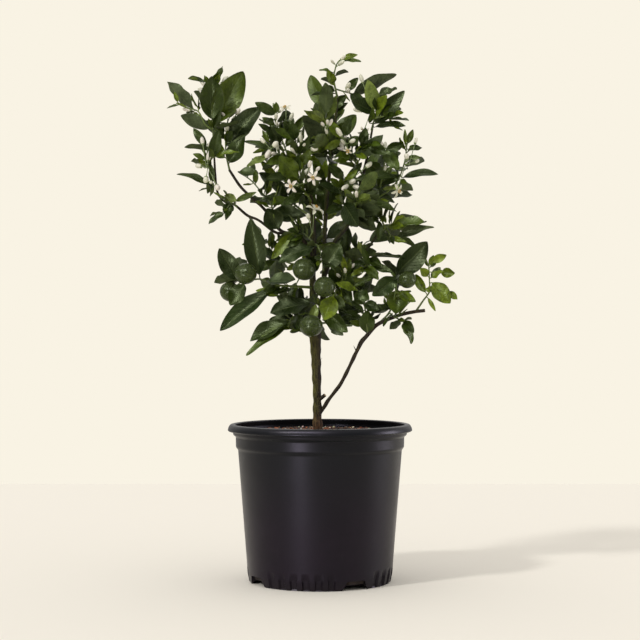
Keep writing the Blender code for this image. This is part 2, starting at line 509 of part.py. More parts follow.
class Leaf:
    """A leaf on its stalk: root on the twig's axis, blade from base to tip, upper side facing up."""

    def __init__(self, root, base, tip, width, up):
        self.root, self.base, self.tip, self.width = root, base, tip, width
        axis = (tip - base).normalized()
        self.up = (up - axis * up.dot(axis)).normalized()
        self.side = axis.cross(self.up)
        self.length = (tip - base).length

    def spot(self, share):
        """A point on the midrib, which arches towards the upper side."""
        arch = LEAF_ARCH * self.length * 4 * share * (1 - share)
        return self.base.lerp(self.tip, share) + self.up * arch

    def shape(self, grow=0.0, stalk=True, start=BLADE_START):
        """The stalk and the blade, with a flat upper side and a keel along the midrib below."""
        rings = []
        if stalk:
            along = (self.base - self.root).normalized()
            axis = (self.tip - self.base).normalized()
            rings.append(self.ring(self.root, STALK_RADIUS + grow, axis.rotation_difference(along)))
            if self.length > SMALL_LEAF and along.dot(axis) < STRAIGHT_STALK:
                half_turn = axis.rotation_difference((along + axis).normalized())
                bend = self.root.lerp(self.base, STALK_BEND)
                rings.append(self.ring(bend, STALK_RADIUS + grow, half_turn))
        else:
            rings.append(self.ring(self.spot(start), STALK_RADIUS + grow))
        for share, wide in LARGE_BLADE if self.length > LARGE_LEAF else BLADE:
            reach = self.width / 2 * wide + grow
            keel = max(LEAF_FOLD * reach, LEAF_THICKNESS) + 2 * grow
            centre = self.spot(share) + self.up * grow
            rings.append([centre - self.side * reach, centre - self.up * keel, centre + self.side * reach])
        return loft(rings, self.spot(1.0 + grow / self.length))

    def ring(self, spot, size, turn=None):
        side, up = (turn @ self.side, turn @ self.up) if turn else (self.side, self.up)
        return [spot - side * size + up * size / 2, spot - up * size, spot + side * size + up * size / 2]


def facing(letters):
    return sum((Vector(FACES[letter]) for letter in letters), Vector()).normalized()


def nearest_on(path, x, z):
    """How far a path passes from (x, z) as seen from the front, and how far along it that is."""
    best = None
    walked = 0.0
    for a, b in zip(path, path[1:]):
        start, end = Vector(a[:3]), Vector(b[:3])
        flat = Vector((end.x - start.x, end.z - start.z))
        reach = flat.dot(Vector((x - start.x, z - start.z))) / max(flat.length_squared, 1e-9)
        reach = min(max(reach, 0.0), 1.0)
        spot = start.lerp(end, reach)
        away = math.hypot(spot.x - x, spot.z - z)
        if best is None or away < best[0]:
            best = (away, walked + reach * (end - start).length)
        walked += (end - start).length
    return best


def point_along(path, distance):
    """The point this far along a path, and the path's direction there."""
    for a, b in zip(path, path[1:]):
        start, end = Vector(a[:3]), Vector(b[:3])
        step = (end - start).length
        if distance <= step:
            break
        distance -= step
    return start.lerp(end, min(distance / step, 1.0)), (end - start).normalized()


def path_length(path):
    return sum((Vector(b[:3]) - Vector(a[:3])).length for a, b in zip(path, path[1:]))


# ---- what has been placed so far, so that nothing grows through anything else -------------------

class Placed:
    def __init__(self):
        self.trees = {}

    def add(self, name, shape):
        self.trees.setdefault(name, []).append(shape.tree())

    def clear_of(self, shape, names):
        tree = shape.tree()
        return not any(tree.overlap(other) for name in names for other in self.trees.get(name, []))

    def clear(self, shape, but=()):
        """Whether the shape runs into nothing, apart from its own neighbours."""
        return self.clear_of(shape, [name for name in self.trees if name not in but])


def seated(path, sides, carrier):
    """The path from where its blunt end first clears the carrier's surface by GAP."""
    spots = [Vector(p) for p in path]
    for a, b in zip(spots, spots[1:]):
        steps = max(int((b - a).length / SEAT_STEP), 1)
        for k in range(steps):
            row = a.lerp(b, k / steps)
            ahead = Vector(b[:3]) - Vector(a[:3])
            probe = tube([row, Vector((*(Vector(row[:3]) + ahead.normalized()), row[3]))], sides)
            near = [carrier.find_nearest(point) for point in probe.points[:sides]]
            outside = all((point - found[0]).dot(found[1]) > 0 for point, found in zip(probe.points, near))
            if outside and min(found[3] for found in near) >= GAP:
                rest = spots[spots.index(b):]
                if (Vector(b[:3]) - Vector(row[:3])).length < SHORTEST_STEP and len(rest) > 1:
                    rest = rest[1:]
                return [row] + rest
    raise ValueError("a stem never leaves its carrier")


# ---- the plan of the plant: limbs, shoots, fruits and clusters as shapes ------------------------

def limb_path(name):
    scale = TRUNK_SCALE if name == "trunk" else STEM_SCALE
    return smooth([(*row[:3], row[3] * scale) for row in LIMBS[name][1]], 1)


def grow_limbs(placed):
    limbs = {}
    paths = {}
    for name, (parent, _) in LIMBS.items():
        path = limb_path(name)
        if parent:
            path = seated(path, LIMB_SIDES, limbs[parent].tree())
        paths[name] = path
        limbs[name] = tube(path, LIMB_SIDES)
        placed.add(name, limbs[name])
    return limbs, paths


def twig_path(points, radius):
    rows = []
    for k, point in enumerate(points):
        share = k / (len(points) - 1)
        rows.append((*point, radius + (TWIG_TIP_RADIUS - radius) * share))
    return smooth(rows, 1)


class Shoot:
    def __init__(self, name, parent, radius, twigs):
        self.name, self.parent, self.leaves = name, parent, []
        self.paths = [twig_path(points, radius * STEM_SCALE * (SIDE_TWIG_SHARE if k else 1.0))
                      for k, points in enumerate(twigs)]

    def plant(self, limbs, placed):
        self.paths[0] = seated(self.paths[0], TWIG_SIDES, limbs[self.parent].tree())
        for path in self.paths[1:]:
            path[0] = path[0] + (path[0] - path[1]).normalized() * SIDE_TWIG_BITE
        self.wood = [tube(path, TWIG_SIDES, SIDE_TWIG_TURN * k) for k, path in enumerate(self.paths)]
        for wood in self.wood:
            placed.add(self.name, wood)

    def try_leaf(self, leaf, placed):
        """Keeps the leaf if it clears its neighbours well and its own shoot's twigs and blades a little."""
        own = (self.name, self.name + " leaves")
        if not placed.clear(leaf.shape(NEIGHBOUR_CLEARANCE), but=own):
            return False
        blade = leaf.shape(OWN_SHOOT_CLEARANCE, stalk=False, start=OWN_SHOOT_START)
        if not placed.clear_of(blade, own):
            return False
        self.leaves.append(leaf)
        placed.add(self.name + " leaves", leaf.shape())
        return True

    def root_for(self, x, z):
        """The twig's point nearest to (x, z) as seen from the front, and the twig's direction there.

        Leaves at a twig's end are set a little way back from it, each at its own place."""
        path = min(self.paths, key=lambda route: nearest_on(route, x, z)[0])
        distance = nearest_on(path, x, z)[1]
        back = END_MARGIN + LEAF_STEP * (len(self.leaves) % 5)
        return point_along(path, max(min(distance, path_length(path) - back), END_MARGIN))

    def add_leaf(self, row, placed):
        """Adds the leaf of one row, in the first way that finds room."""
        x, z, tip_x, tip_z, forward, width, letters = row
        root, _ = self.root_for(x, z)
        base = Vector((x, root.y, z))
        if (base - root).length < SHORTEST_STALK:
            base = root + (Vector((tip_x, root.y + forward, tip_z)) - root).normalized() * SHORT_STALK
        for size, shift, roll in product(LEAF_SIZES, TIP_SHIFTS, LEAF_ROLLS):
            tip = base.lerp(Vector((tip_x, root.y + forward + shift, tip_z)), (1 + size) / 2)
            turn = Matrix.Rotation(roll, 3, tip - base)
            if self.try_leaf(Leaf(root, base, tip, width * size, turn @ facing(letters)), placed):
                return

    def add_round_leaves(self, count, placed, draw):
        """Leaves set round the twig, each turned on from the last by the golden angle."""
        path = self.paths[0]
        turn = draw.uniform(0, 2 * math.pi)
        spans = list(frames(path))
        for k in range(count):
            share = FIRST_LEAF + (1 - FIRST_LEAF) * k / (count - 1)
            spot, side, across = spans[min(int(share * (len(spans) - 1)), len(spans) - 1)]
            ahead = side.cross(across)
            length = draw.uniform(*LEAF_LENGTHS)
            lean = LEAF_LEAN if k < count - 1 else END_LEAF_LEAN
            for attempt in range(LEAF_TRIES):
                angle = turn + TRY_TURN * attempt * (-1) ** attempt
                out = math.cos(angle) * side + math.sin(angle) * across
                way = (out + ahead * lean + Vector((0, 0, LEAF_LIFT))).normalized()
                size = length * (1 - TRY_SHRINK * attempt)
                base = spot + way * LEAF_STALK
                up = Vector((0, 0, 1)) + 0.7 * out - 0.5 * ahead
                if self.try_leaf(Leaf(spot, base, base + way * size, size * LEAF_SHAPE, up), placed):
                    break
            turn += GOLDEN_ANGLE


def grow_shoots(limbs, paths, placed):
    shoots = {}
    for name, (parent, radius, twigs, _) in SHOOTS.items():
        shoots[name] = Shoot(name, parent, radius, twigs)
    for name, (parent, share, reach, _) in FILL_SHOOTS.items():
        path = paths[parent]
        start = Vector(path[int(share * (len(path) - 1))][:3])
        end = Vector(reach)
        middle = start.lerp(end, 0.5) - Vector((0, 0, FILL_TWIG_SAG * (end - start).length))
        shoots[name] = Shoot(name, parent, FILL_TWIG_RADIUS, [[tuple(start), tuple(middle), tuple(end)]])
    for shoot in shoots.values():
        shoot.plant(limbs, placed)
    return shoots


def grow_leaves(shoots, placed):
    draw = random.Random(SEED)
    for name, (_, _, _, rows) in SHOOTS.items():
        for row in rows:
            shoots[name].add_leaf(row, placed)
    for name, (_, _, _, count) in FILL_SHOOTS.items():
        shoots[name].add_round_leaves(count, placed, draw)


def stalk_start(shoot, x, z):
    """A point on a shoot's twig, given as seen from the front, its direction, and the shoot's skin."""
    spot, ahead = shoot.root_for(x, z)
    wood = Shape()
    for piece in shoot.wood:
        wood.add(piece)
    return spot, ahead, wood.tree()


def off_twig(spot, ahead, goal, reach):
    """A point at this reach from the twig, towards the goal but well clear of the twig's direction."""
    way = goal - spot
    out = way - ahead * way.dot(ahead)
    if out.length < 0.3 * way.length:
        out = ahead.cross(Vector((1, 0, 0.2)))
    return spot + (out.normalized() + 0.5 * way.normalized()).normalized() * reach


def grow_fruits(shoots, placed):
    fruits = {}
    slim, thick = FRUIT_STALK_RADII
    for name, (carrier, (x, z), place, size) in FRUITS.items():
        centre, radius = Vector(place), size * FRUIT_SCALE
        spot, ahead, skin = stalk_start(shoots[carrier], x, z)
        elbow = off_twig(spot, ahead, centre, FRUIT_ELBOW)
        crown = centre - (centre - elbow).normalized() * radius * STALK_DEPTH
        stalk = [Vector((*spot, slim)), Vector((*elbow, slim)), Vector((*crown, thick))]
        fruits[name] = [tube(seated(stalk, TWIG_SIDES, skin), TWIG_SIDES), ball(centre, radius)]
        for piece in fruits[name]:
            placed.add(name, piece)
    return fruits


def stalked_bud(start, head, length, width):
    """A closed bud at the end of its stalk."""
    way = (head - start).normalized()
    side = way.orthogonal().normalized()
    across = way.cross(side)
    foot = head - way * length / 2
    widest = foot + way * length * 0.6
    rings = [around(spot, size, side, across, BUD_SIDES)
             for spot, size in ((start, STALK_RADIUS), (foot, STALK_RADIUS), (widest, width / 2))]
    return loft(rings, foot + way * length)


def open_flower(centre, way, spread):
    """A five-pointed star with a raised middle."""
    side = way.orthogonal().normalized()
    across = way.cross(side)
    rim = []
    count = 2 * PETAL_COUNT
    for i in range(count):
        angle = 2 * math.pi * i / count
        reach = spread / 2 * (PETAL_NOTCH if i % 2 else 1.0)
        rim.append(centre + reach * (math.cos(angle) * side + math.sin(angle) * across + way * PETAL_RISE))
    shape = Shape(rim + [centre - way * FLOWER_BACK, centre + way * FLOWER_FRONT])
    for i in range(count):
        j = (i + 1) % count
        shape.faces += [(j, i, count), (i, j, count + 1)]
    return shape


def grow_clusters(shoots, placed):
    clusters = {}
    for name, (carrier, (x, z), flowers) in CLUSTERS.items():
        spot, ahead, skin = stalk_start(shoots[carrier], x, z)
        heads = [Vector(row[:3]) for row in flowers]
        middle = sum(heads, Vector()) / len(heads)
        reach = max(CLUSTER_FORK_SHARE * (middle - spot).length, CLUSTER_FORK_LEAST + BUD_STEP * len(heads))
        fork = off_twig(spot, ahead, middle, reach)
        stalk = [Vector((*spot, CLUSTER_STALK_RADIUS)), Vector((*fork, CLUSTER_STALK_RADIUS))]
        pieces = [tube(seated(stalk, TWIG_SIDES, skin), TWIG_SIDES)]
        for k, (head, row) in enumerate(zip(heads, flowers)):
            start = fork + (spot - fork).normalized() * (BUD_START + BUD_STEP * k)
            way = (head - start).normalized()
            length, width = row[3], row[4]
            if width:
                pieces.append(stalked_bud(start, head, length, width))
            else:
                ends = [Vector((*start, STALK_RADIUS)), Vector((*(head + way * 0.8), STALK_RADIUS))]
                pieces.append(tube(ends, BUD_SIDES))
                pieces.append(open_flower(head, (way + Vector((0, -1.2, 0))).normalized(), length))
        for piece in pieces:
            placed.add(name, piece)
        clusters[name] = pieces
    return clusters


# ---- Blender objects ----------------------------------------------------------------------------

def material(kind):
    found = bpy.data.materials.get(kind)
    if found:
        return found
    colour, roughness = COLOURS[kind]
    made = bpy.data.materials.new(kind)
    made.use_nodes = True
    shader = made.node_tree.nodes["Principled BSDF"]
    shader.inputs["Base Color"].default_value = (*colour, 1)
    shader.inputs["Roughness"].default_value = roughness
    shader.inputs["Metallic"].default_value = 0.0
    return made


def mesh_object(name, shape, kind, lift=0.0):
    """An object with the shape's mesh and the material of its kind, raised by the lift."""
    mesh = bpy.data.meshes.new(name)
    mesh.from_pydata([point * MM for point in shape.points], [], shape.faces)
    work = bmesh.new()
    work.from_mesh(mesh)
    bmesh.ops.recalc_face_normals(work, faces=work.faces)
    bmesh.ops.triangulate(work, faces=[face for face in work.faces if len(face.verts) > 3])
    work.to_mesh(mesh)
    work.free()
    mesh.shade_smooth()
    mesh.set_sharp_from_angle(angle=math.radians(40))
    mesh.materials.append(material(kind))
    made = bpy.data.objects.new(name, mesh)
    made.location.z = lift * MM
    bpy.context.scene.collection.objects.link(made)
    return made


def helper_object(name, shape, lift=0.0):
    """An object that only cuts or joins others, and never shows in a render."""
    made = mesh_object(name, shape, "soil", lift)
    made.hide_render = True
    made.display_type = "WIRE"
    return made


def boolean(target, helper, operation, solver="EXACT"):
    cut = target.modifiers.new(helper.name, "BOOLEAN")
    cut.operation = operation
    cut.solver = solver
    cut.object = helper


def joined_object(name, pieces, kind):
    """One body from pieces that run into each other.

    Stalks cross at slight angles, where the exact solver can leave two surfaces touching along an
    edge, so each closed piece is joined in turn with the manifold solver."""
    target = mesh_object(name, pieces[0], kind, soil_level())
    for k, piece in enumerate(pieces[1:]):
        boolean(target, helper_object(f"{name}_piece_{k}", piece, soil_level()), "UNION", solver="MANIFOLD")


# ---- pot and soil -------------------------------------------------------------------------------

def pot_radii():
    """The outside radius at the rim, the stacking ring, the band, below the band and at the foot."""
    rim = RIM_DIAMETER / 2
    ring = rim - SKIRT_INSET - LEDGE
    band = ring - RING_INSET
    return rim, ring, band, band - BAND_TAPER - BAND_INSET, FOOT_DIAMETER / 2


def pot_outside():
    """The outside from the rim down to the foot, as (radius, height)."""
    rim, ring, band, below, foot = pot_radii()
    return [
        (rim - LIP_WIDTH, POT_HEIGHT), (rim - LIP_ROUND, POT_HEIGHT - LIP_ROUND_DROP),
        (rim, POT_HEIGHT - SKIRT_DEPTH), (rim - SKIRT_INSET, POT_HEIGHT - SKIRT_DEPTH - LEDGE),
        (ring, POT_HEIGHT - RING_DEPTH), (band, POT_HEIGHT - RING_DEPTH - STEP_SLOPE),
        (band - BAND_TAPER, POT_HEIGHT - BAND_DEPTH + BAND_CHAMFER), (below, POT_HEIGHT - BAND_DEPTH),
        (foot + BODY_RISE, FLUTE_HEIGHT + FLUTE_FADE), (foot + FLUTE_RISE, FLUTE_HEIGHT),
        (foot - FOOT_TUCK, 0.0)]


def pot_inside():
    """The inside from the floor up to the rim, as (radius, height)."""
    rim, ring, band, below, foot = pot_radii()
    return [
        (foot - FOOT_WALL, FLOOR_HEIGHT + FLOOR_THICKNESS),
        (foot + BODY_RISE - WALL, FLUTE_HEIGHT + FLUTE_FADE), (below - WALL, POT_HEIGHT - BAND_DEPTH),
        (band - WALL, POT_HEIGHT - RING_DEPTH - STEP_SLOPE),
        (ring - WALL, POT_HEIGHT - RING_DEPTH + BAND_CHAMFER),
        (rim - LIP_WIDTH - WALL, POT_HEIGHT - LIP_STEP)]


def turn_point(radius, height, angle):
    """Angles are measured from the front, positive towards +X."""
    return Vector((radius * math.sin(angle), -radius * math.cos(angle), height))


def flute(angle, height):
    """How far the outside is sunk here by the grooves between the drain notches."""
    pitch = 360.0 / NOTCH_COUNT
    from_notch = (math.degrees(angle) - NOTCH_TURN) % pitch
    near_middle = abs(from_notch - pitch / 2) < FLUTE_REACH + FLUTE_PITCH / 2
    on_groove = height <= FLUTE_HEIGHT and near_middle and round(from_notch) % FLUTE_PITCH == 0
    return FLUTE_DEPTH if on_groove else 0.0


def make_pot():
    """The pot as one skin of rings: down the outside, under the floor, and up the inside."""
    foot = FOOT_DIAMETER / 2
    foot_inside = foot - FOOT_WALL + FOOT_DRAFT_START
    rows = pot_outside()
    last_fluted = len(rows) - 1
    rows += [(foot_inside, 0.0), (foot_inside - FOOT_DRAFT, FLOOR_HEIGHT),
             (PAD_RADIUS + PAD_BLEND, FLOOR_HEIGHT), (PAD_RADIUS, 0.0)]
    last_outside = len(rows) - 1
    rows += list(reversed(pot_inside()))
    shape = Shape()
    rings = []
    for level, (radius, height) in enumerate(rows):
        low = height <= FLUTE_HEIGHT + FLUTE_FADE
        count = FOOT_SEGMENTS if low and level <= last_fluted + 1 else POT_SEGMENTS
        rings.append(list(range(len(shape.points), len(shape.points) + count)))
        for i in range(count):
            angle = 2 * math.pi * i / count + math.radians(NOTCH_TURN)
            sunk = flute(angle, height) if level <= last_fluted else 0.0
            shape.points.append(turn_point(radius - sunk, height, angle))
    for a, b in zip(rings, rings[1:]):
        if b is not rings[last_outside + 1]:
            shape.faces += band_faces(a, b)
    shape.faces += band_faces(rings[last_outside + 1], rings[0])
    shape.faces.append(tuple(rings[last_outside]))
    shape.faces.append(tuple(reversed(rings[-1])))
    pot = mesh_object("nursery_pot", shape, "pot")
    notches = Shape()
    for k in range(NOTCH_COUNT):
        notches.add(notch(math.radians(NOTCH_TURN + 360.0 / NOTCH_COUNT * k)))
    boolean(pot, helper_object("drain_notches", notches), "DIFFERENCE")


def band_faces(a, b):
    """Faces between two rings, where one may have twice the points of the other."""
    if len(a) == len(b):
        return [(a[i], a[i - len(a) + 1], b[i - len(b) + 1], b[i]) for i in range(len(a))]
    fine, coarse, flip = (a, b, False) if len(a) > len(b) else (b, a, True)
    faces = []
    for i in range(len(coarse)):
        j = i - len(coarse) + 1
        near, middle, far = fine[2 * i], fine[2 * i + 1], fine[2 * j]
        for face in ((near, middle, coarse[i]), (middle, far, coarse[j]), (middle, coarse[j], coarse[i])):
            faces.append(tuple(reversed(face)) if flip else face)
    return faces


def notch(angle):
    """The outline of one drain notch, with rounded upper corners, pushed through the wall."""
    half, corner, top = NOTCH_WIDTH / 2, NOTCH_CORNER, NOTCH_HEIGHT
    below, beyond = NOTCH_OVERRUN
    outline = [(-half, -below), (half, -below), (half, top - corner), (half - corner, top),
               (corner - half, top), (-half, top - corner)]
    turn = Matrix.Rotation(angle, 3, "Z")
    return loft([[turn @ Vector((x, -reach, z)) for x, z in outline]
                 for reach in (FOOT_DIAMETER / 2 - NOTCH_DEPTH, FOOT_DIAMETER / 2 + beyond)])


def soil_radius(height):
    """The soil's radius at a height, which keeps a little more than GAP to the flats of the pot's wall."""
    rows = pot_inside()
    (r0, z0), (r1, z1) = next(pair for pair in zip(rows, rows[1:]) if height <= pair[1][1])
    wall = r0 + (r1 - r0) * (height - z0) / (z1 - z0)
    return wall * math.cos(math.pi / POT_SEGMENTS) - GAP * 1.2


def make_soil(trunk_path):
    """The soil, which follows the pot's wall, with a socket for the trunk's root."""
    floor = FLOOR_HEIGHT + FLOOR_THICKNESS + GAP
    edge = POT_HEIGHT - SOIL_DROP
    heights = [floor] + [z for _, z in pot_inside() if floor < z < edge] + [edge]
    angles = [2 * math.pi * i / SOIL_SEGMENTS for i in range(SOIL_SEGMENTS)]
    rings = [[turn_point(soil_radius(height), height, angle) for angle in angles] for height in heights]
    for share in SOIL_RINGS:
        ring = [turn_point(soil_radius(edge) * share, edge, angle) for angle in angles]
        for point in ring:
            point.z += MOUND_HEIGHT * (1 - share ** 2) + SOIL_ROUGHNESS * noise.noise(point * SOIL_GRAIN)
        rings.append(ring)
    soil = mesh_object("potting_soil", loft(rings, Vector((0, 0, edge + MOUND_HEIGHT))), "soil")
    socket = [Vector((*row[:3], row[3] + GAP)) for row in trunk_path if row[2] < SOCKET_TOP]
    socket[0].z -= GAP
    boolean(soil, helper_object("root_socket", tube(socket, LIMB_SIDES), soil_level()), "DIFFERENCE")


def main():
    for item in list(bpy.data.objects):
        bpy.data.objects.remove(item)
    placed = Placed()
    limbs, paths = grow_limbs(placed)
    shoots = grow_shoots(limbs, paths, placed)
    fruits = grow_fruits(shoots, placed)
    clusters = grow_clusters(shoots, placed)
    grow_leaves(shoots, placed)
    make_pot()
    make_soil(paths["trunk"])
    for name, shape in limbs.items():
        mesh_object(name, shape, "bark", soil_level())
    for name, shoot in shoots.items():
        joined_object(name, shoot.wood + [leaf.shape() for leaf in shoot.leaves], "leaf")
    for name, pieces in fruits.items():
        joined_object(name, pieces, "fruit")
    for name, pieces in clusters.items():
        joined_object(name, pieces, "petal")


main()
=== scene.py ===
"""The looks of a potted calamondin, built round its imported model.

Sizes are in millimetres and heights are measured from the soil, as in the part's source. MM turns
them into metres when a mesh is made. The tables and the growing rules are the part's own, so each
fine leaf, bud and fruit lies where its plain solid does.
"""

import json
import math
import random
from itertools import product

import bmesh
import bpy
import numpy as np
from mathutils import Matrix, Vector, noise
from mathutils.bvhtree import BVHTree

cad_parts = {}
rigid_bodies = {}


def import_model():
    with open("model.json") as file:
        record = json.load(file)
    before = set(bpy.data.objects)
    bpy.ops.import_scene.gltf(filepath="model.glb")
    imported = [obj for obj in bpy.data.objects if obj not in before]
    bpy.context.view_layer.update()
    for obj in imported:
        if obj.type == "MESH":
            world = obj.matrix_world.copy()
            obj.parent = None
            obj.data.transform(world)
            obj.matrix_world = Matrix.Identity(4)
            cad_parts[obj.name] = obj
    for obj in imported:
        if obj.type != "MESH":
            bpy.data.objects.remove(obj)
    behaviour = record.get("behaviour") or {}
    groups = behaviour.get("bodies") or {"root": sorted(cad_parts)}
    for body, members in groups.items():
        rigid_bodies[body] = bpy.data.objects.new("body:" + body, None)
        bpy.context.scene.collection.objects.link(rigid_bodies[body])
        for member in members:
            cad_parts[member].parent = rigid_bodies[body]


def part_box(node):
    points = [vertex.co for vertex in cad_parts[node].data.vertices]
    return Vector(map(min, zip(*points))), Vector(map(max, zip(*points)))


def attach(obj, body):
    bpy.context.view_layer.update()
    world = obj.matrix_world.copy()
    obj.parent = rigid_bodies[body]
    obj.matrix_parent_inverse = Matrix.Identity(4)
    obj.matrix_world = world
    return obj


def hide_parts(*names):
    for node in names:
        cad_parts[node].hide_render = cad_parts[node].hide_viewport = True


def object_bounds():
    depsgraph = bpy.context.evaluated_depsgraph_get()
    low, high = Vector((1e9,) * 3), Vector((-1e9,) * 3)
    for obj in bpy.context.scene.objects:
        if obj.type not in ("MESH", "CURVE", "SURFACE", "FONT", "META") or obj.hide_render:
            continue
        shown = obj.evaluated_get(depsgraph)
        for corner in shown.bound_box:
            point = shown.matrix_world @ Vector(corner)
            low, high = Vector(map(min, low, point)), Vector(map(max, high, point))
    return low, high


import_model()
CAD_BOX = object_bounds()

MM = 0.001
GAP = 0.3

ROOT_DEPTH = 66.0

# The wood: each limb is a list of centre points with a radius, read as a smooth curve
TRUNK_SCALE = 1.0
STEM_SCALE = 1.0

LIMBS = {
    "trunk": (None, [
        (-3, 0, -ROOT_DEPTH, 3.0), (-3, 0, -30, 7.5), (-3, 0, -2, 8.0), (-3.5, 0, 16, 6.4),
        (-4, 0, 50, 5.6), (-5, 0, 85, 6.3), (-6.5, 1, 122, 7.4), (-8, 2, 145, 7.0), (-9, 4, 164, 6.2)]),
    "side_stem": ("trunk", [
        (-3, 0, 18, 2.9), (6, -1, 32, 2.7), (11, -2, 40, 2.6), (20, -3, 52, 2.5), (29, -4, 64, 2.5),
        (41, -5, 88, 2.5), (52, -6, 111, 2.7), (57, -6, 121, 3.2), (64, -6, 129, 3.0), (79, -7, 145, 2.7),
        (107, -9, 157, 2.4), (128, -10, 162, 2.3), (144, -10, 164, 2.3)]),
    "centre_leader": ("trunk", [
        (-9, 4, 160, 4.6), (-10, 8, 190, 4.4), (-10, 9, 225, 4.1), (-9, 7, 257, 3.8), (-10, 6, 292, 3.3),
        (-15, 6, 332, 2.6), (-24, 6, 367, 2.1), (-33, 6, 394, 1.6)]),
    "centre_stem": ("trunk", [
        (-7, 2, 136, 3.2), (-1, 12, 160, 3.2), (4, 19, 190, 3.2), (6, 20, 225, 3.1), (6, 18, 257, 3.0),
        (9, 15, 312, 2.6), (15, 12, 372, 2.2), (21, 9, 422, 1.8), (24, 6, 462, 1.4)]),
    "left_limb": ("centre_leader", [
        (-10, 7, 240, 2.6), (-24, 6, 262, 2.5), (-42, 5, 270, 2.5), (-56, 3, 276, 2.3),
        (-76, 1, 303, 2.1), (-99, 0, 324, 2.0), (-112, 0, 338, 1.9), (-125, 0, 358, 1.7)]),
    "left_outer_limb": ("left_limb", [
        (-50, 4, 271, 2.0), (-62, -2, 272, 1.9), (-84, -4, 288, 1.8), (-100, -5, 295, 1.8),
        (-117, -5, 309, 1.7), (-130, -5, 313, 1.6), (-141, -5, 327, 1.6), (-144, -5, 352, 1.5),
        (-146, -5, 388, 1.4)]),
    "right_limb": ("centre_stem", [
        (6, 20, 210, 2.9), (14, 12, 240, 2.8), (21, 4, 260, 2.7), (40, -2, 285, 2.5), (51, -4, 323, 2.2),
        (60, -4, 354, 1.9), (68, -4, 392, 1.6), (73, -4, 420, 1.4)]),
    "right_low_limb": ("centre_stem", [
        (1, 15, 172, 2.2), (15, 4, 196, 2.1), (38, -6, 226, 2.0), (64, -10, 248, 1.8),
        (76, -10, 264, 1.6), (88, -10, 277, 1.4)]),
}

